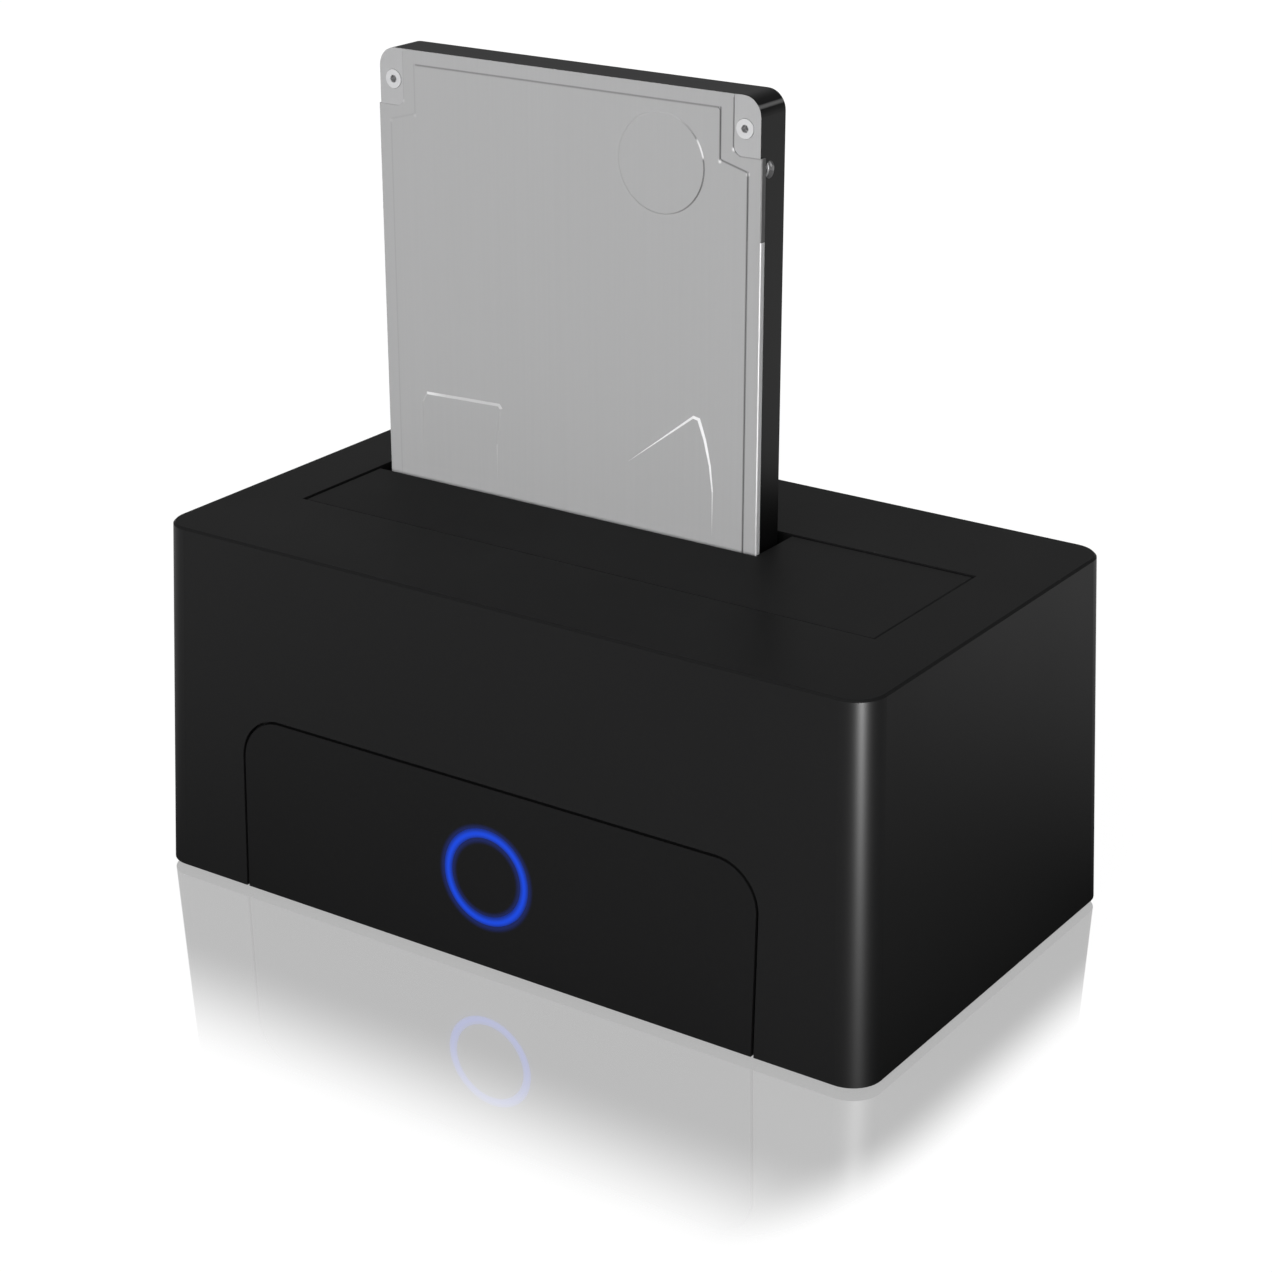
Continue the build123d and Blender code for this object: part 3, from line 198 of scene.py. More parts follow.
# %% Helpers for finishes
class Finish(Nodes):
    """A material, with short calls to set and feed its Principled shader."""

    def __init__(self, name, color=(0.5, 0.5, 0.5), roughness=0.5, metallic=0.0, specular=0.5):
        self.material = bpy.data.materials.new(name)
        self.material.use_nodes = True
        super().__init__(self.material.node_tree)
        self.shader = self.tree.nodes["Principled BSDF"]
        self.output = self.tree.nodes["Material Output"]
        self.set("Base Color", (*color, 1))
        self.set("Roughness", roughness)
        self.set("Metallic", metallic)
        self.set("Specular IOR Level", specular)

    def set(self, socket, value):
        self.shader.inputs[socket].default_value = value

    def feed(self, socket, value):
        self.tree.links.new(value, self.shader.inputs[socket])

    def fed(self, socket):
        """What already feeds a socket of the shader."""
        return self.shader.inputs[socket].links[0].from_socket

    def place(self):
        return self.add("ShaderNodeTexCoord").outputs["Object"]

    def seen_by(self, ray):
        """1 for one kind of ray and 0 for all others."""
        return self.add("ShaderNodeLightPath").outputs[ray]

    def feed_surface(self, outputs):
        self.feed("Base Color", outputs["Color"])
        self.feed("Roughness", outputs["Roughness"])
        self.feed("Normal", outputs["Normal"])


def dress(finish, *names):
    """Give carried-over pieces a finish."""
    for name in names:
        piece = nodes[name]
        piece.data.materials.clear()
        piece.data.materials.append(finish.material)


print("finish helpers ready")

# %% [markdown]
# ## Moulded grain
#
# The housing is satin black plastic from a spark-eroded mould. Close up it has a fine,
# even grain, and its gloss wanders a little where hands and the mould's flow left it. Both
# come from noise on Object coordinates, so the grain has one real size on every piece.

# %% The moulded grain group
GRAIN_SCALE = 2600.0
CLOUD_SCALE = 26.0
PLASTIC_DETAIL = 3.0
CLOUD_LOW, CLOUD_HIGH = 0.3, 0.7
TONE_WANDER = 0.10
GLOSS_WANDER = 0.03
GRAIN_HEIGHT = 0.02 * MM


def make_grain_group():
    group, given = new_group(
        "moulded_grain",
        {
            "Place": (VECTOR, None),
            "Color": (COLOR, (0.02, 0.02, 0.02, 1)),
            "Roughness": (NUMBER, 0.5),
            "Grain Size": (NUMBER, GRAIN_SCALE),
            "Grain Depth": (NUMBER, 0.1),
        },
        SURFACE,
    )
    noise = {"Vector": given["Place"], "Scale": given["Grain Size"], "Detail": PLASTIC_DETAIL}
    grain = group.add("ShaderNodeTexNoise", noise).outputs["Fac"]
    noise["Scale"] = CLOUD_SCALE
    cloud = group.add("ShaderNodeTexNoise", noise).outputs["Fac"]
    tone = group.ranged(grain, 0.0, 1.0, 1 - TONE_WANDER, 1 + TONE_WANDER)
    gloss = group.ranged(cloud, CLOUD_LOW, CLOUD_HIGH, -GLOSS_WANDER, GLOSS_WANDER)
    bump = group.add(
        "ShaderNodeBump",
        {"Distance": GRAIN_HEIGHT, "Strength": given["Grain Depth"], "Height": grain},
    )
    group.add(
        "NodeGroupOutput",
        {
            "Color": group.scaled(given["Color"], tone),
            "Roughness": group.math("ADD", given["Roughness"], gloss),
            "Normal": bump.outputs["Normal"],
        },
    )
    return group.tree


GRAIN = make_grain_group()
print("group:", GRAIN.name)

# %% [markdown]
# Each plastic places the grain with its own colour, gloss and depth.


# %% Plastics with the grain
def moulded(name, color, roughness, specular=0.5, depth=0.1):
    """Black or coloured plastic with the moulded grain."""
    finish = Finish(name, color, roughness, specular=specular)
    finish.feed_surface(finish.use(
        GRAIN,
        {
            "Place": finish.place(),
            "Color": (*color, 1),
            "Roughness": roughness,
            "Grain Size": GRAIN_SCALE,
            "Grain Depth": depth,
        },
    ))
    return finish


print("plastics can be moulded")

# %% [markdown]
# ## Brushed metal
#
# Sheet, plated steel and machined faces have fine lines in one direction. Noise stretched
# along one axis gives such lines, and drives both the gloss and a faint bump.

# %% The brushed metal group
UPRIGHT_LINES = (60.0, 60.0, 3000.0)
SHEET_LINES = (2500.0, 60.0, 25.0)
METAL_DETAIL = 4.0
NOISE_MIDDLE = 0.5
BRUSH_HEIGHT = 0.01 * MM


def make_brushed_group():
    group, given = new_group(
        "brushed_lines",
        {
            "Place": (VECTOR, None),
            "Color": (COLOR, (0.5, 0.5, 0.5, 1)),
            "Roughness": (NUMBER, 0.4),
            "Stretch": (VECTOR, UPRIGHT_LINES),
            "Depth": (NUMBER, 0.1),
            "Contrast": (NUMBER, 0.06),
        },
        SURFACE,
    )
    stretched = group.vector("MULTIPLY", given["Place"], given["Stretch"])
    noise = {"Vector": stretched, "Scale": 1.0, "Detail": METAL_DETAIL}
    lines = group.add("ShaderNodeTexNoise", noise).outputs["Fac"]
    centred = group.math("SUBTRACT", lines, NOISE_MIDDLE)
    share = group.math("MULTIPLY", centred, given["Contrast"])
    bump = group.add(
        "ShaderNodeBump", {"Distance": BRUSH_HEIGHT, "Strength": given["Depth"], "Height": lines}
    )
    group.add(
        "NodeGroupOutput",
        {
            "Color": group.scaled(given["Color"], group.math("ADD", share, 1.0)),
            "Roughness": group.math("ADD", given["Roughness"], share),
            "Normal": bump.outputs["Normal"],
        },
    )
    return group.tree


BRUSHED = make_brushed_group()
print("group:", BRUSHED.name)

# %% [markdown]
# Each metal places the lines with its own colour, gloss, direction and contrast.


# %% Metals with brushed lines
def brushed(name, color, roughness, metallic=1.0, stretch=UPRIGHT_LINES, contrast=0.06):
    """Metal with fine lines across one axis."""
    finish = Finish(name, color, roughness, metallic)
    finish.feed_surface(finish.use(
        BRUSHED,
        {
            "Place": finish.place(),
            "Color": (*color, 1),
            "Roughness": roughness,
            "Stretch": stretch,
            "Contrast": contrast,
        },
    ))
    return finish


print("metals can be brushed")

# %% [markdown]
# ## The dock's black plastics
#
# Housing, flap and panel are the same kind of plastic with slightly different gloss: the
# panel is a touch darker. Their reflections are weak and broad, which is what makes the
# sides read as soft greys and not as mirrors. Where the housing is itself seen in another
# surface, it is a little rougher still, so that mirror images stay soft. Each row of the
# table gives a plastic's name, colour, roughness, specular level and grain depth, and the
# pieces that it is for.

# %% Black plastics
HOUSING_BLACK = (0.0105, 0.0105, 0.0107)
MIRRORED_ROUGHER = 0.15
housing_black = moulded("housing_black", HOUSING_BLACK, 0.39, specular=0.1)
housing_black.feed("Roughness", housing_black.math(
    "MULTIPLY_ADD",
    housing_black.seen_by("Is Glossy Ray"), MIRRORED_ROUGHER, housing_black.fed("Roughness"),
))
dress(housing_black, "top_housing")
PLASTICS = [
    ("flap_black", (0.0145, 0.0145, 0.0147), 0.52, 0.12, 0.1, ["flap"]),
    ("base_black", (0.014, 0.014, 0.0145), 0.6, 0.15, 0.25, ["base_cover"]),
    ("well_black", (0.018, 0.018, 0.019), 0.6, 0.15, 0.1, ["drive_well"]),
    ("socket_black", (0.02, 0.02, 0.021), 0.45, 0.3, 0.1,
     ["drive_socket", "led_header", "power_inlet", "switch_body", "drive_plug"]),
    ("rocker_black", (0.012, 0.012, 0.012), 0.25, 0.5, 0.02, ["power_rocker"]),
    ("chip_black", (0.016, 0.016, 0.016), 0.7, 0.5, 0.3,
     ["bridge_chip", "memory_chip", "regulator_chip", "power_coil"]),
    ("foot_rubber", (0.02, 0.02, 0.02), 0.85, 0.3, 0.3, ["rubber_feet"]),
    ("tongue_blue", (0.02, 0.06, 0.42), 0.45, 0.5, 0.1, ["usb_tongues"]),
]
for name, color, roughness, specular, depth, pieces in PLASTICS:
    dress(moulded(name, color, roughness, specular, depth), *pieces)
print("plastics:", 1 + len(PLASTICS))

# %% [markdown]
# ## The lit ring
#
# The ring is a clear plastic light guide with blue lamps behind it. It shines evenly, a
# little brighter along its middle. The black panel beside it catches a faint blue spill,
# so the panel's material fades a weak blue glow out from the ring's edge. The distance is
# measured from the ring's own axis in Object coordinates. The sheet under the dock mirrors
# the ring only weakly, so both glows are dim for glossy rays.

# %% Ring and panel
guide_low, guide_high = (Vector(corner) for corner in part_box("light_guide"))
RING_CENTRE = (guide_low + guide_high) / 2
RING_MIDDLE = 7.0 * MM
RING_HALF = 0.7 * MM
RING_REACH = 1.1 * RING_HALF
SPILL_REACH = 2.6 * RING_HALF
RING_BRIGHT, RING_EDGE = (0.006, 0.056, 0.68, 1), (0.005, 0.022, 0.24, 1)
SPILL_BRIGHT, SPILL_EDGE = (0.004, 0.012, 0.10, 1), (0, 0, 0, 1)
MIRRORED_GLOW = 0.05


def glow_round_ring(finish, start, end, curve, inner, outer):
    """A glow that runs from one colour to another with the distance from the ring's circle."""
    centred = finish.vector("SUBTRACT", finish.place(), (RING_CENTRE.x, 0, RING_CENTRE.z))
    radius = finish.measure("LENGTH", finish.vector("MULTIPLY", centred, (1, 0, 1)))
    off = finish.math("ABSOLUTE", finish.math("SUBTRACT", radius, RING_MIDDLE))
    fall = finish.ranged(off, start, end, curve=curve)
    glow = finish.add("ShaderNodeValToRGB", {"Fac": fall})
    glow.color_ramp.elements[0].color = inner
    glow.color_ramp.elements[1].color = outer
    level = finish.ranged(finish.seen_by("Is Glossy Ray"), 0.0, 1.0, 1.0, MIRRORED_GLOW)
    finish.feed("Emission Color", finish.scaled(glow.outputs["Color"], level))
    finish.set("Emission Strength", 1.0)


ring_lit = Finish("ring_blue", (0.004, 0.010, 0.05), 0.4, specular=0.15)
glow_round_ring(ring_lit, 0.0, RING_REACH, "SMOOTHSTEP", RING_BRIGHT, RING_EDGE)
dress(ring_lit, "light_guide")

panel_black = moulded("panel_black", (0.0088, 0.0088, 0.009), 0.42, specular=0.09)
glow_round_ring(
    panel_black, RING_HALF, SPILL_REACH, "SMOOTHERSTEP", SPILL_BRIGHT, SPILL_EDGE
)
dress(panel_black, "front_panel", "ring_centre")
print("ring at", [round(value, 5) for value in RING_CENTRE])

# %% [markdown]
# ## Metals
#
# Screws, springs and shells are plated steel, and contacts are gilt. Each has its own fine
# lines.

# %% Metals
bright_steel = brushed("bright_steel", (0.62, 0.62, 0.64), 0.28, contrast=0.1)
black_steel = brushed("black_steel", (0.05, 0.05, 0.05), 0.4, contrast=0.1)
contact_gold = brushed("contact_gold", (0.78, 0.58, 0.26), 0.25, contrast=0.08)
can_aluminium = brushed("can_aluminium", (0.72, 0.72, 0.74), 0.3, contrast=0.08)
dress(bright_steel, "led_screws", "hinge_pin", "flap_spring", "well_screws", "board_screws",
      "clock_crystal", "usb_socket", "drive_motor")
dress(black_steel, "case_screws")
dress(contact_gold, "socket_contacts", "plug_contacts", "inlet_pin", "switch_terminals")
dress(can_aluminium, "capacitors")
print("metals: 4")

# %% [markdown]
# ## The drive's stamped cover
#
# The cover's pressed lines are a tenth of a millimetre high, so at arm's length they show
# only as thin dark lines, with a bright glint at each corner. Both are painted into the
# cover's colour: the lines as painted shade and the glints as painted highlights. One group
# gives the distance from a straight line between two points, and the cover's material calls
# it for each line.


# %% The pressed line group
def make_line_group():
    group, given = new_group(
        "pressed_line",
        {
            "Place": (VECTOR, None),
            "From": (VECTOR, None),
            "To": (VECTOR, None),
            "Half Width": (NUMBER, 0.2 * MM),
        },
        {"Mask": NUMBER},
    )
    along = group.vector("SUBTRACT", given["To"], given["From"])
    reached = group.vector("SUBTRACT", given["Place"], given["From"])
    covered = group.measure("DOT_PRODUCT", reached, along)
    whole = group.measure("DOT_PRODUCT", along, along)
    share = group.add("ShaderNodeMath", {0: covered, 1: whole}, operation="DIVIDE", use_clamp=True)
    foot = group.scaled(along, share.outputs[0])
    off = group.measure("DISTANCE", reached, foot)
    mask = group.ranged(off, 0.0, given["Half Width"], 1.0, 0.0, "SMOOTHSTEP")
    group.add("NodeGroupOutput", {"Mask": mask})
    return group.tree


PRESSED_LINE = make_line_group()


def near_line(finish, place, first, second, half_width):
    """A mask round a straight line: 1 on it, and 0 from half the width outwards."""
    inputs = {"Place": place, "From": first, "To": second, "Half Width": half_width}
    return finish.use(PRESSED_LINE, inputs)["Mask"]


print("group:", PRESSED_LINE.name)

# %% [markdown]
# The places come from the drive's own box. Each line has two ends, measured outwards from
# the drive's middle and down from its top edge in millimetres, and a strength. Both halves
# of the cover are alike, so the place is folded over the drive's middle first.

# %% Lines on the cover
cover_low, cover_high = (Vector(corner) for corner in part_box("drive_cover"))
COVER_MIDDLE = (cover_low.x + cover_high.x) / 2
LINE_HALF_WIDTH = 0.26 * MM
# The dark lines below are painted shade along the pressed steps.
DARK_LINES = [
    ((27.83, 2.2), (27.83, 9.7), 1.0),
    ((27.83, 9.7), (32.58, 11.0), 0.7),
    ((32.58, 11.0), (32.58, 97.3), 1.0),
    ((30.08, 0.6), (30.08, 7.6), 1.0),
    ((30.4, 8.3), (31.2, 8.8), 0.6),
    ((31.2, 8.8), (34.9, 8.8), 0.5),
]
TOP_LINE = ((0, 2.2), (27.5, 2.2), 0.6)
# The glints are painted highlights at the steps' corners, and the disc glint is a painted bright
# spot.
GLINTS = [(27.83, 9.9), (32.58, 11.2), (30.08, 7.9)]
GLINT_LENGTH = 0.1
GLINT_SIZE = 0.42 * MM
DISC_GLINT = ((24.12, 7.47), (25.05, 9.66))
DISC_GLINT_SIZE = 0.6 * MM

cover = brushed("cover_grey", (0.39, 0.39, 0.393), 0.45, 0.04, SHEET_LINES, 0.05)
cover.set("Specular IOR Level", 0.12)
from_middle = cover.vector("SUBTRACT", cover.place(), (COVER_MIDDLE, 0, 0))
folded = cover.vector("ABSOLUTE", from_middle)
flat_place = cover.vector("MULTIPLY", folded, (1, 0, 1))


def on_cover(out, down):
    return (out * MM, 0, cover_high.z - down * MM)


def cover_line(first, second, strength, half_width=LINE_HALF_WIDTH):
    mask = near_line(cover, flat_place, on_cover(*first), on_cover(*second), half_width)
    return cover.math("MULTIPLY", mask, strength)


# Painted shade along the pressed steps, and painted highlights at their corners.
pressed = cover.strongest(*(cover_line(*line) for line in DARK_LINES))
top_line = cover_line(*TOP_LINE)
glints = cover.strongest(
    *(cover_line((out, down), (out, down + GLINT_LENGTH), 1.0, GLINT_SIZE) for out, down in GLINTS)
)
disc_glint = cover_line(*DISC_GLINT, 1.0, DISC_GLINT_SIZE)
print("lines on the cover:", len(DARK_LINES) + 1, "glints:", len(GLINTS) + 1)

# %% [markdown]
# The two pads and the disc have sloped walls, and these get painted light and shade by the
# way they face. The real cover catches its light from the right, so the painted marks are
# stronger on the right half, and the left pad's painted highlight fades out on the way to
# its inner end. A wall turned to the light is painted lighter. On the disc the wall turned
# to the right is painted darker, with one painted bright spot.

# %% The cover's painted light and shade
LEFT_SHARE = 0.2
CHANGE_FROM, CHANGE_TO = -20 * MM, 20 * MM
TO_LIGHT, LIT_FROM, LIT_TO = (0.35, 0, 1.0), 0.06, 0.2
TO_RIGHT, SHADED_FROM, SHADED_TO = (1.0, 0, -0.1), 0.15, 0.45
DISC_FOOT = cover_high.z - 21 * MM
PAD_FADE_FROM, PAD_FADE_TO, PAD_FADED = -27.5 * MM, -23 * MM, 0.3
DARKEST, LIGHTEST = 0.38, 2.0
MIRRORED_COVER = 0.45

across = cover.axes(from_middle)
right_half = cover.ranged(across["X"], CHANGE_FROM, CHANGE_TO, LEFT_SHARE, 1.0)
cover_facing = cover.add("ShaderNodeTexCoord").outputs["Normal"]
toward_light = cover.measure("DOT_PRODUCT", cover_facing, TO_LIGHT)
toward_right = cover.measure("DOT_PRODUCT", cover_facing, TO_RIGHT)
# Walls turned to the light get a painted highlight, and walls turned to the right painted shade.
lit_slope = cover.ranged(toward_light, LIT_FROM, LIT_TO)
shaded_slope = cover.ranged(toward_right, SHADED_FROM, SHADED_TO)

at_disc = cover.math("GREATER_THAN", across["Z"], DISC_FOOT)
below_disc = cover.math("SUBTRACT", 1.0, at_disc)
disc_shade = cover.math("MULTIPLY", shaded_slope, cover.math("SUBTRACT", at_disc, disc_glint))
disc_light = cover.math("MULTIPLY", shaded_slope, disc_glint)
pad_fade = cover.ranged(across["X"], PAD_FADE_FROM, PAD_FADE_TO, 1.0, PAD_FADED)
pad_share = cover.strongest(pad_fade, cover.math("GREATER_THAN", across["X"], 0.0))
pad_light = cover.math("MULTIPLY", lit_slope, cover.math("MULTIPLY", below_disc, pad_share))

# The painted shade and highlights are gathered into one factor on the cover's colour.
side_dark = cover.math("MULTIPLY", cover.strongest(pressed, disc_shade), right_half)
side_light = cover.math("MULTIPLY", glints, right_half)
darkened = cover.ranged(cover.strongest(side_dark, top_line), 0.0, 1.0, 1.0, DARKEST)
lightened = cover.ranged(
    cover.strongest(side_light, pad_light, disc_light), 0.0, 1.0, 1.0, LIGHTEST
)
# Seen in mirror images, the whole cover is painted darker.
mirrored = cover.ranged(cover.seen_by("Is Glossy Ray"), 0.0, 1.0, 1.0, MIRRORED_COVER)
cover_painted_light = cover.math("MULTIPLY", cover.math("MULTIPLY", darkened, lightened), mirrored)
cover.feed("Base Color", cover.scaled(cover.fed("Base Color"), cover_painted_light))
dress(cover, "drive_cover")
print("cover dressed, disc above", round(DISC_FOOT, 4))

# %% [markdown]
# The cover's screws are pale, and the socket in each head is darkened by painted shade.

# %% The drive's screws
SCREW_OUT = 31.92
SCREW_DOWN = 4.8
SCREW_DEPTH = 12 * MM
SOCKET_SHADE = 1.25 * MM
SHADE_FROM, SHADE_TO, SOCKET_DARK = 0.45, 0.8, 0.2
screw_steel = brushed("screw_steel", (0.6, 0.6, 0.61), 0.5, 0.2, contrast=0.1)
screw_steel.set("Specular IOR Level", 0.3)
from_screws = screw_steel.vector("SUBTRACT", screw_steel.place(), (COVER_MIDDLE, 0, 0))
socket_x, _, socket_z = on_cover(SCREW_OUT, SCREW_DOWN)
near_socket = near_line(
    screw_steel, screw_steel.vector("ABSOLUTE", from_screws),
    (socket_x, 0, socket_z), (socket_x, SCREW_DEPTH, socket_z), SOCKET_SHADE,
)
# The socket's dark is painted shade.
painted_socket_shade = screw_steel.ranged(near_socket, SHADE_FROM, SHADE_TO, 1.0, SOCKET_DARK)
screw_steel.feed("Base Color", screw_steel.scaled(screw_steel.fed("Base Color"), painted_socket_shade))
dress(screw_steel, "drive_screws")
print("drive screws dressed")

# %% [markdown]
# The casting is dark where the mould left it and bare where it was machined flat, at the
# front, and half bare in its side holes. Masks from the surface's own direction put the
# bare metal on the front, paint shade on the narrow sides so that they are darker than the
# rest, and paint a thin highlight across its upper right corner. The holes' masks come from
# their places.

# %% Measures of the casting
# The corner colour is a painted highlight, and the sides' factor is painted shade.
CAST_DARK, CORNER_HIGHLIGHT = (0.036, 0.036, 0.037), (0.2, 0.2, 0.2, 1)
SIDE_DARK, SIDE_FROM, SIDE_TO = 0.12, 0.15, 0.6
CORNER_WAY, CORNER_FROM, CORNER_TO = (0.87, 0, 0.49), 0.991, 0.999
MACHINED_FROM, MACHINED_TO = -0.9, -0.98
HOLE_RADIUS = 1.25 * MM
HOLE_BACK = 7.39 * MM
HOLE_HEIGHTS = (115.69 * MM, 40.14 * MM)
HOLE_SPAN = 0.2
HOLE_SHADE, HOLE_EDGE, HOLE_BARE = 1.2, 0.07, 0.5
print("side holes at", [round(height, 4) for height in HOLE_HEIGHTS])

# %% [markdown]
# The cast tone with its painted shade and highlight, and the bare metal, are both made for
# the whole surface, and the strongest mask chooses between them.

# %% The casting's finish
casting = Finish("casting_grey", CAST_DARK, 0.42, 0.1, specular=0.18)
casting_lines = casting.use(
    BRUSHED,
    {
        "Place": casting.place(),
        "Color": (0.42, 0.42, 0.425, 1),
        "Roughness": 0.4,
        "Stretch": SHEET_LINES,
        "Contrast": 0.05,
    },
)
outward = casting.add("ShaderNodeNewGeometry").outputs["Normal"]
facing = casting.axes(outward)
sideways = casting.math("ABSOLUTE", facing["X"])
# Painted shade on the narrow sides.
side_painted_shade = casting.ranged(sideways, SIDE_FROM, SIDE_TO, 1.0, SIDE_DARK)
# A painted highlight across the upper right corner.
at_corner = casting.measure("DOT_PRODUCT", outward, CORNER_WAY)
corner_highlight = casting.ranged(at_corner, CORNER_FROM, CORNER_TO)
cast_tone_and_painted_light = casting.mixed(corner_highlight, casting.scaled(CAST_DARK, side_painted_shade), CORNER_HIGHLIGHT)
bare = [casting.ranged(facing["Y"], MACHINED_FROM, MACHINED_TO)]
for height in HOLE_HEIGHTS:
    near_hole = near_line(
        casting, casting.place(), (-HOLE_SPAN, HOLE_BACK, height), (HOLE_SPAN, HOLE_BACK, height),
        HOLE_RADIUS * HOLE_SHADE,
    )
    inside = casting.math("GREATER_THAN", near_hole, HOLE_EDGE)
    bare.append(casting.math("MULTIPLY", inside, HOLE_BARE))
casting.feed(
    "Base Color", casting.mixed(casting.strongest(*bare), cast_tone_and_painted_light, casting_lines["Color"])
)
casting.feed("Normal", casting_lines["Normal"])
dress(casting, "drive_base")
print("casting dressed, masks for bare metal:", len(bare))

# %% [markdown]
# ## Circuit boards and lamps
#
# Solder mask is a green lacquer over copper. Tracks show as slightly lighter lines and
# tinned pads as small bright dots. Bundles of tracks come from the joints of two brick
# patterns, one turned by a right angle, and the squares of a cell texture choose between
# the two. The dots come from the middles of smaller cells. A board's own plane is laid flat
# before the pattern is drawn, because two of the boards stand upright.

# %% The board group
TRACKS = {
    "Scale": 320, "Mortar Size": 0.022, "Brick Width": 4.6, "Row Height": 0.2,
    "Color1": (0.0085, 0.072, 0.025, 1), "Color2": (0.0075, 0.065, 0.023, 1),
    "Mortar": (0.016, 0.118, 0.043, 1),
}
TRACK_SHIFT = 0.35
REGION_SCALE = 85
PAD_SCALE, PAD_WANDER = 330, 0.85
PAD_EDGE, PAD_MIDDLE = 0.17, 0.13
TIN = (0.55, 0.53, 0.46, 1)
LACQUER_ROUGH, TIN_ROUGH = 0.35, 0.25


def make_board_group():
    group, given = new_group(
        "board_tracks",
        {"Place": (VECTOR, None)},
        {"Color": COLOR, "Roughness": NUMBER, "Metallic": NUMBER},
    )
    flat = group.axes(given["Place"])
    turned = group.add("ShaderNodeCombineXYZ", {"X": flat["Y"], "Y": flat["X"]}).outputs[0]
    layers = [
        group.add("ShaderNodeTexBrick", {"Vector": place, **TRACKS}, offset=TRACK_SHIFT)
        for place in (given["Place"], turned)
    ]
    regions = group.add(
        "ShaderNodeTexVoronoi", {"Vector": given["Place"], "Scale": REGION_SCALE},
        distance="CHEBYCHEV",
    )
    shade = group.add("ShaderNodeSeparateColor", {0: regions.outputs["Color"]}).outputs[0]
    upright = group.math("GREATER_THAN", shade, 0.5)
    tracks = group.mixed(upright, *(layer.outputs["Color"] for layer in layers))
    cells = group.add(
        "ShaderNodeTexVoronoi",
        {"Vector": given["Place"], "Scale": PAD_SCALE, "Randomness": PAD_WANDER},
    )
    pads = group.ranged(cells.outputs["Distance"], PAD_EDGE, PAD_MIDDLE)
    group.add(
        "NodeGroupOutput",
        {
            "Color": group.mixed(pads, tracks, TIN),
            "Roughness": group.ranged(pads, 0.0, 1.0, LACQUER_ROUGH, TIN_ROUGH),
            "Metallic": pads,
        },
    )
    return group.tree


BOARD = make_board_group()
print("group:", BOARD.name)

# %% [markdown]
# Three boards carry the pattern. The lamps behind the ring shine blue on their own.


# %% Boards and lamps
def board(name, upright):
    finish = Finish(name, (0.01, 0.09, 0.03), LACQUER_ROUGH, specular=0.3)
    place = finish.place()
    if upright:
        flat = finish.axes(place)
        place = finish.add("ShaderNodeCombineXYZ", {"X": flat["X"], "Y": flat["Z"]}).outputs[0]
    pattern = finish.use(BOARD, {"Place": place})
    finish.feed("Base Color", pattern["Color"])
    finish.feed("Roughness", pattern["Roughness"])
    finish.feed("Metallic", pattern["Metallic"])
    return finish


dress(board("board_flat", upright=False), "main_board")
dress(board("board_upright", upright=True), "led_board", "drive_board")
led_blue = Finish("led_blue", (0.02, 0.08, 0.8), 0.3)
led_blue.set("Emission Color", (0.05, 0.2, 1, 1))
led_blue.set("Emission Strength", 3.0)
dress(led_blue, "ring_leds")
print("undressed:", [name for name in nodes if not nodes[name].data.materials])

# %% [markdown]
# ## Small pieces as meshes
#
# Some pieces read better as meshes than as solids: a wound spring, screw threads and the
# raised marks on the power rocker. Each is built in millimetres around its own place and
# closed, and all but the spring then ride on the body that they belong to.

# %% Mesh helpers
EDGE_ROUND = 0.02


def piece_from(name, work, finish, smooth=True):
    """Turn a bmesh drawn in millimetres into an object with a finish."""
    bmesh.ops.scale(work, vec=(MM, MM, MM), verts=work.verts)
    bmesh.ops.recalc_face_normals(work, faces=work.faces)
    for face in work.faces:
        face.smooth = smooth
    mesh = bpy.data.meshes.new(name)
    work.to_mesh(mesh)
    work.free()
    mesh.materials.append(finish.material)
    return link_object(name, mesh)


def round_edges(work):
    bmesh.ops.bevel(
        work, geom=work.edges[:], offset=EDGE_ROUND, segments=2, profile=0.5, affect="EDGES",
        material=-1,
    )


def only(kind, items):
    """The points or faces among what an operator gives back."""
    return [item for item in items if isinstance(item, kind)]


def grow(work, faces, vector, scale=1.0):
    """Extrude end faces along a vector, and scale the new end about its middle."""
    grown = bmesh.ops.extrude_face_region(work, geom=faces)["geom"]
    corners = only(bmesh.types.BMVert, grown)
    bmesh.ops.translate(work, vec=vector, verts=corners)
    middle = sum((corner.co for corner in corners), Vector()) / len(corners)
    bmesh.ops.scale(work, vec=(scale,) * 3, space=Matrix.Translation(-middle), verts=corners)
    bmesh.ops.delete(work, geom=[face for face in faces if face.is_valid], context="FACES_ONLY")
    return only(bmesh.types.BMFace, grown)


print("mesh helpers ready")

# %% [markdown]
# The torsion spring is wound round the hinge pin. One leg presses on the housing and the
# other lifts the flap. When the flap opens, the coil has to twist; this piece is not attached
# to the dock or the flap and keeps its place. A disc of wire is spun round the pin with a
# step along it, and both end faces are drawn out into the straight legs.

# %% The torsion spring
COIL_START = Vector((7.6, -19.2, 54.8))
COIL_AXIS = Vector((7.6, -18.1, 54.8))
COIL_RADIUS = 1.1
COIL_PITCH = 0.85
COIL_TURNS = 6.26
COIL_STEPS = 28
WIRE_RADIUS = 0.175
WIRE_SIDES = 10
LEG = 4.95
LEG_TIP = 0.08
TIP_SCALE = 0.6
ABOVE_START, BESIDE_START = 0.001, 0.01
slope = math.atan2(COIL_PITCH, math.tau * COIL_RADIUS)
leg_way = Vector((math.sin(slope), 0, math.cos(slope)))


def at_start(face):
    """Whether a face is the wire's first end."""
    middle = face.calc_center_median()
    near = abs(middle.y - COIL_START.y) < BESIDE_START and middle.z < COIL_START.z + ABOVE_START
    return near and len(face.verts) == WIRE_SIDES


def draw_leg(work, end, way):
    end = grow(work, end, way * (LEG - LEG_TIP))
    grow(work, end, way * LEG_TIP, TIP_SCALE)


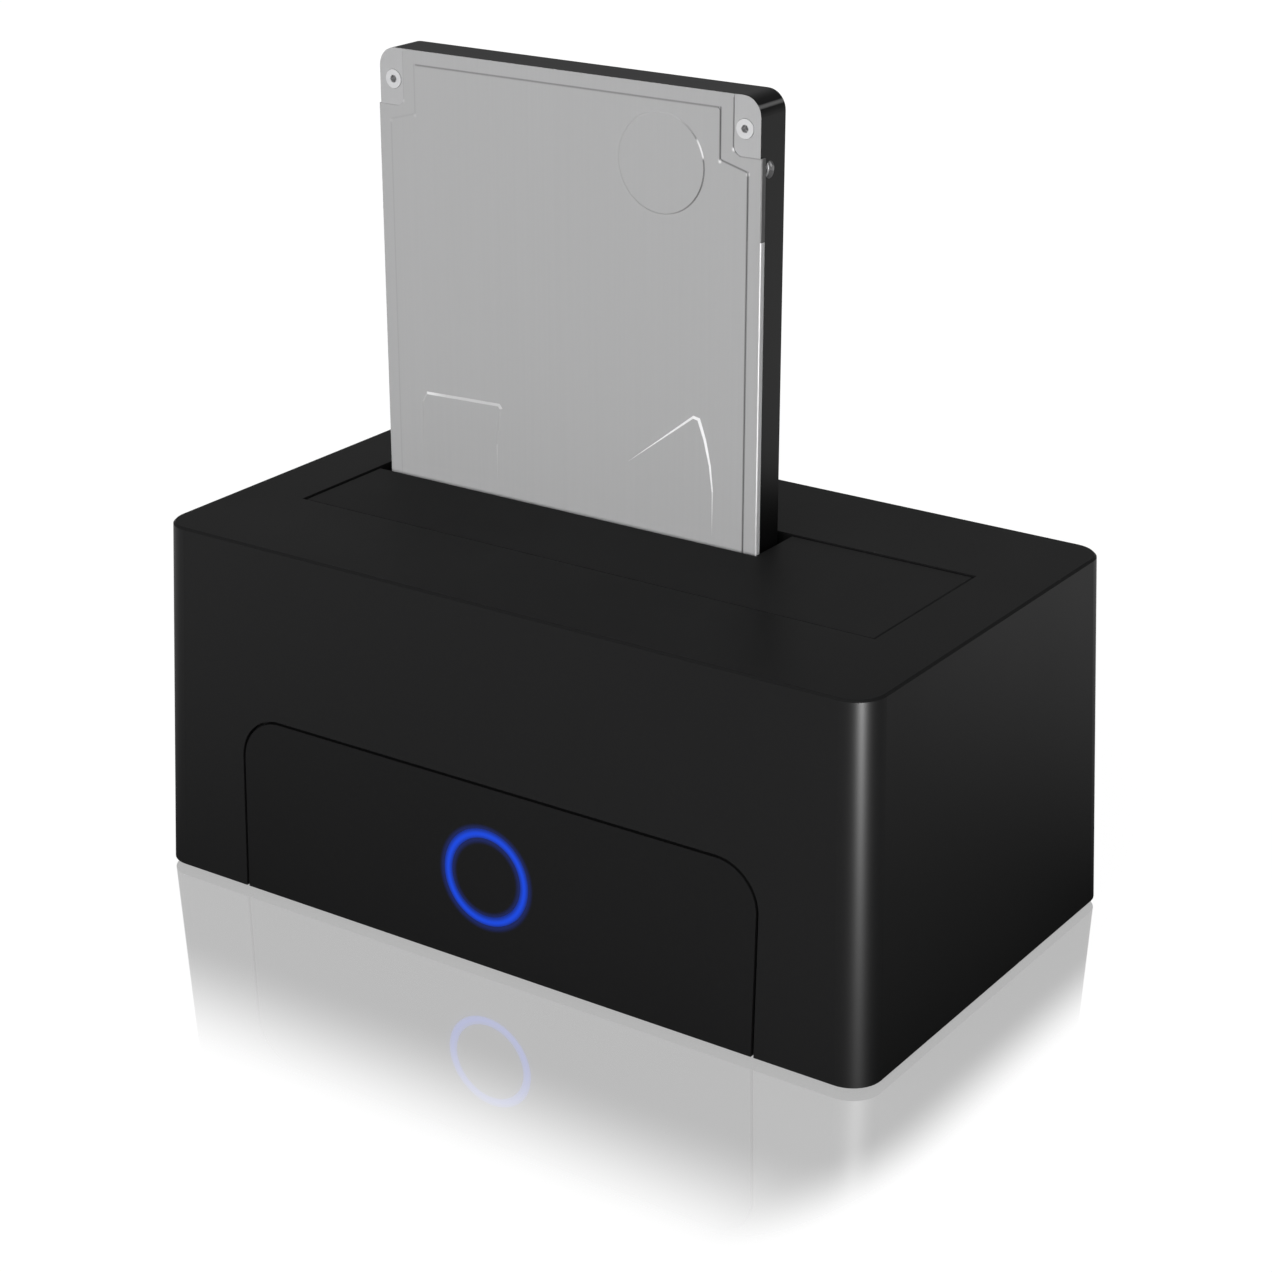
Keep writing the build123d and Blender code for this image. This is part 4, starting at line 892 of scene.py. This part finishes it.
work = bmesh.new()
bmesh.ops.create_circle(
    work, cap_ends=True, radius=WIRE_RADIUS, segments=WIRE_SIDES,
    matrix=Matrix.Translation(COIL_START) @ Matrix.Rotation(slope, 4, "Y"),
)
wound = bmesh.ops.spin(
    work, geom=work.verts[:] + work.edges[:] + work.faces[:], cent=COIL_AXIS, axis=(1, 0, 0),
    dvec=(COIL_PITCH / COIL_STEPS, 0, 0), angle=-math.tau * COIL_TURNS,
    steps=round(COIL_TURNS * COIL_STEPS),
)
last_end = only(bmesh.types.BMFace, wound["geom_last"])
draw_leg(work, last_end, Matrix.Rotation(-math.tau * COIL_TURNS, 3, "X") @ leg_way)
draw_leg(work, [face for face in work.faces if at_start(face)], -leg_way)
spring = piece_from("wound_spring", work, bright_steel)
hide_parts("flap_spring")
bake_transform(spring)
print("spring points:", len(spring.data.vertices))

# %% [markdown]
# The drive's side holes are threaded for M3 screws. The ridge is a triangle that winds
# round inside the hole and runs out into the wall at both ends.

# %% Threads in the side holes
THREAD_PITCH = 0.5
THREAD_TURNS = 5
THREAD_STEPS = 24
THREAD_HEIGHT = 0.2
THREAD_START = 0.3
THREAD_FOOT = 0.9
ROOT_SINK = 0.02
HOLE_MOUTHS = (19.6, -49.55)
root = HOLE_RADIUS / MM + ROOT_SINK
foot_length = THREAD_PITCH * THREAD_FOOT
RIDGE = [(0, root), (foot_length / 2, root - THREAD_HEIGHT), (foot_length, root)]


def wind_ridge(work, mouth, height):
    inward = -1 if mouth > 0 else 1
    middle = Vector((mouth + inward * THREAD_START, HOLE_BACK / MM, height / MM))
    corners = [work.verts.new(middle + Vector((along * inward, out, 0))) for along, out in RIDGE]
    section = work.faces.new(corners)
    wound = bmesh.ops.spin(
        work, geom=corners + section.edges[:] + [section], cent=middle, axis=(1, 0, 0),
        dvec=(inward * THREAD_PITCH / THREAD_STEPS, 0, 0), angle=math.tau * THREAD_TURNS,
        steps=THREAD_STEPS * THREAD_TURNS,
    )
    run_out = corners + only(bmesh.types.BMVert, wound["geom_last"])
    bmesh.ops.translate(work, vec=(0, THREAD_HEIGHT, 0), verts=run_out)


work = bmesh.new()
for mouth in HOLE_MOUTHS:
    for height in HOLE_HEIGHTS:
        wind_ridge(work, mouth, height)
threads = piece_from("side_threads", work, screw_steel)
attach(threads, "drive")
print("thread points:", len(threads.data.vertices))

# %% [markdown]
# The rocker carries the usual marks, a line for on and a ring for off. They stand a
# twentieth of a millimetre proud of its two faces.

# %% Marks on the rocker
mark_white = moulded("mark_white", (0.62, 0.62, 0.6), 0.5, specular=0.3, depth=0.02)
MARK_PROUD = 0.05
ON_FACE = (Vector((-31.0, 35.73, 23.36)), Vector((0.0, 1.0, 0.03)))
OFF_FACE = (Vector((-36.6, 36.57, 23.39)), Vector((0.27, 0.96, 0.03)))
LINE_SIZE = (0.45, 2.4, 2 * MARK_PROUD)
RING_SECTION = [(0.85, -1.0), (1.25, -1.0), (1.25, 0.7), (1.2, 1.0), (0.9, 1.0), (0.85, 0.7)]
RING_STEPS = 48


def onto_face(face):
    """The transform from a flat drawing to a face, given by its middle and its normal."""
    origin, normal = face
    normal = normal.normalized()
    upright = (Vector((0, 0, 1)) - normal * normal.z).normalized()
    turn = Matrix((upright.cross(normal), upright, normal)).transposed()
    return Matrix.Translation(origin) @ turn.to_4x4()


def mark_on(face, name, work):
    bmesh.ops.transform(work, matrix=onto_face(face), verts=work.verts)
    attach(piece_from(name, work, mark_white, smooth=False), "rocker")


work = bmesh.new()
bmesh.ops.create_cube(work, size=1)
bmesh.ops.scale(work, vec=LINE_SIZE, verts=work.verts)
round_edges(work)
mark_on(ON_FACE, "rocker_on_mark", work)

work = bmesh.new()
loop = [work.verts.new((radius, 0, rise * MARK_PROUD)) for radius, rise in RING_SECTION]
for first, second in zip(loop, loop[1:] + loop[:1]):
    work.edges.new((first, second))
bmesh.ops.spin(
    work, geom=work.verts[:] + work.edges[:], cent=(0, 0, 0), axis=(0, 0, 1),
    angle=math.tau, steps=RING_STEPS, use_merge=True,
)
mark_on(OFF_FACE, "rocker_off_mark", work)
print("marks on the rocker: 2")

# %% [markdown]
# The data socket's blue tongues carry gilt contact strips, four on the lower tongue and
# five under the upper one. Each row below gives the step between strips in millimetres, the
# places in such steps, the heights, and a strip's width and length.

# %% Contact strips in the data socket
TONGUE_MIDDLE = 8.0
STRIP_BACK = 30.9
STRIP_THICK = 0.1
STRIP_ROWS = [
    (1.35, (-1, 1), (19.1, 22.3), 1.0, 7.0),
    (0.95, (-2, -1, 0, 1, 2), (25.5,), 0.5, 6.0),
]
work = bmesh.new()
count = 0
for step, sides, heights, width, length in STRIP_ROWS:
    for side in sides:
        for height in heights:
            made = bmesh.ops.create_cube(work, size=1)["verts"]
            middle = (TONGUE_MIDDLE + side * step, STRIP_BACK - length / 2, height)
            bmesh.ops.scale(work, vec=(width, length, STRIP_THICK), verts=made)
            bmesh.ops.translate(work, vec=middle, verts=made)
            count += 1
round_edges(work)
strips = piece_from("tongue_strips", work, contact_gold, smooth=False)
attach(strips, "dock")
print("contact strips:", count)

# %% [markdown]
# ## The studio
#
# The dock stands on a white glossy sheet, which the camera, mirror images and soft light
# each meet in their own way.
#
# - The camera sees plain white, and near the dock's foot a mirror image of its front, which
#   fades out between 16 and 45 millimetres from the foot.
# - Mirror images on the dock see the sheet dark near the foot and bright further out. This
#   gives the front and sides their darker lower part.
# - All other rays meet a dark matt sheet, so that little light comes back from below.
#
# The sheet is clear from below, so that the underside can be looked at.

# %% The sheet
FOOTPRINT = (0.0652, 0.0375)
SHEET_HALF = 1.5
SIDE_STRETCH = 2.8
FADE_START = 16 * MM
FADE_END = 45 * MM
MIRROR_SHARE = 0.55
MIRROR_ROUGHNESS = 0.02
REFLECTED_LEVEL = 0.22
SHEET_GREY = (0.12, 0.12, 0.12)
SHEET_WHITE = 0.95
GLOSS_REACH = 0.17
GLOSS_NEAR = 0.05
GLOSS_FAR = 0.8
WHITE = (1, 1, 1, 1)

work = bmesh.new()
bmesh.ops.create_grid(work, x_segments=1, y_segments=1, size=SHEET_HALF)
sheet = bpy.data.meshes.new("floor")
work.to_mesh(sheet)
work.free()
floor = link_object("floor", sheet)
print("sheet:", 2 * SHEET_HALF, "m wide")

# %% [markdown]
# The distance from the dock's outline, in Object coordinates, drives the mirror image and
# the sheen. To the sides of the dock the distance counts more, so the mirror image is
# shorter there.

# %% What the sheet does with distance
paper = Finish("floor_sheet", SHEET_GREY, 0.6, specular=0.0)
beyond = paper.vector("SUBTRACT", paper.vector("ABSOLUTE", paper.place()), (*FOOTPRINT, 0))
outside = paper.vector("MAXIMUM", beyond, (0, 0, 0))
away = paper.measure("LENGTH", paper.vector("MULTIPLY", outside, (SIDE_STRETCH, 1, 0)))
mirror_share = paper.ranged(away, FADE_START, FADE_END, MIRROR_SHARE, 0.0, "SMOOTHSTEP")
sheen_level = paper.ranged(
    paper.measure("LENGTH", outside), 0.0, GLOSS_REACH, GLOSS_NEAR, GLOSS_FAR
)
print("mirror image fades out within", FADE_END, "m")

# %% [markdown]
# One shader is made for each kind of ray, and Light Path chooses between them.


# %% The sheet's shaders
def by_share(share, first, second):
    """Two shaders of the sheet mixed by a share."""
    inputs = {0: share, 1: first.outputs[0], 2: second.outputs[0]}
    return paper.add("ShaderNodeMixShader", inputs)


white = paper.add("ShaderNodeEmission", {"Color": WHITE, "Strength": SHEET_WHITE})
chalk = paper.add("ShaderNodeBsdfDiffuse", {"Color": (*SHEET_GREY, 1)})
lit_white = paper.add("ShaderNodeAddShader", {0: white.outputs[0], 1: chalk.outputs[0]})
mirror = paper.add(
    "ShaderNodeBsdfGlossy",
    {"Color": (*[1 / REFLECTED_LEVEL] * 3, 1), "Roughness": MIRROR_ROUGHNESS},
)
sheen = paper.add("ShaderNodeEmission", {"Color": WHITE, "Strength": sheen_level})
clear = paper.add("ShaderNodeBsdfTransparent")
for_camera = by_share(mirror_share, lit_white, mirror)
for_others = by_share(paper.seen_by("Is Glossy Ray"), paper.shader, sheen)
from_above = by_share(paper.seen_by("Is Camera Ray"), for_others, for_camera)
below = paper.add("ShaderNodeNewGeometry").outputs["Backfacing"]
one_sided = by_share(below, from_above, clear)
paper.tree.links.new(one_sided.outputs[0], paper.output.inputs["Surface"])
floor.data.materials.append(paper.material)
print("the sheet is staged:", floor.name)

# %% [markdown]
# The world is pure white for the camera, also through the clear underside of the sheet. It
# is a dim even light for everything else, and dimmer still in mirror images, because a black
# gloss surface shows it at once.

# %% The world
WORLD_LEVEL = 0.28
world_data = bpy.data.worlds.new("studio")
world_data.use_nodes = True
bpy.context.scene.world = world_data
world = Nodes(world_data.node_tree)
path = world.add("ShaderNodeLightPath").outputs
in_view = world.math("MAXIMUM", path["Is Camera Ray"], path["Is Transmission Ray"])
dimmer = world.math("MULTIPLY", path["Is Glossy Ray"], REFLECTED_LEVEL - WORLD_LEVEL)
level = world.math("MAXIMUM", world.math("ADD", dimmer, WORLD_LEVEL), in_view)
backdrop = world_data.node_tree.nodes["Background"]
backdrop.inputs["Color"].default_value = WHITE
world_data.node_tree.links.new(level, backdrop.inputs["Strength"])
print("world level:", WORLD_LEVEL)

# %% [markdown]
# ## Lamps
#
# A large soft lamp above lifts the roof and the drive's top a little. A wide one in front
# lights the front and the drive's cover, and a weaker one fills the back. These two give
# soft light only and don't show in mirror images. A small strip, low and close to the
# front right corner, does the opposite: it draws the light line down the corner and lights
# nothing else. It stays below the roof, so that no roof mirrors it.


# %% Lamps
def soft_lamp(name, place, target, size, power):
    lamp_data = bpy.data.lights.new(name, "AREA")
    lamp_data.shape = "RECTANGLE"
    lamp_data.size, lamp_data.size_y = size
    lamp_data.energy = power
    lamp = link_object(name, lamp_data)
    lamp.location = place
    aim = Vector(target) - Vector(place)
    lamp.rotation_euler = aim.to_track_quat("-Z", "Y").to_euler()
    return lamp


overhead = soft_lamp("overhead", (0.0, 0.05, 0.75), (0, 0, 0.05), (0.9, 0.7), 0.5)
front_key = soft_lamp("front_key", (0.05, -1.15, 0.4), (0, 0, 0.08), (1.6, 0.7), 17.0)
back_fill = soft_lamp("back_fill", (-0.2, 1.15, 0.17), (0, 0, 0.05), (1.6, 0.3), 9.0)
corner_strip = soft_lamp(
    "corner_strip", (0.2515, -0.1937, 0.027), (0.06, -0.033, 0.03), (0.024, 0.045), 3.3
)
front_key.visible_glossy = False
back_fill.visible_glossy = False
corner_strip.visible_diffuse = False
corner_strip.visible_camera = False
lamps = (overhead, front_key, back_fill, corner_strip)
print("lamps:", ", ".join(lamp.name for lamp in lamps))
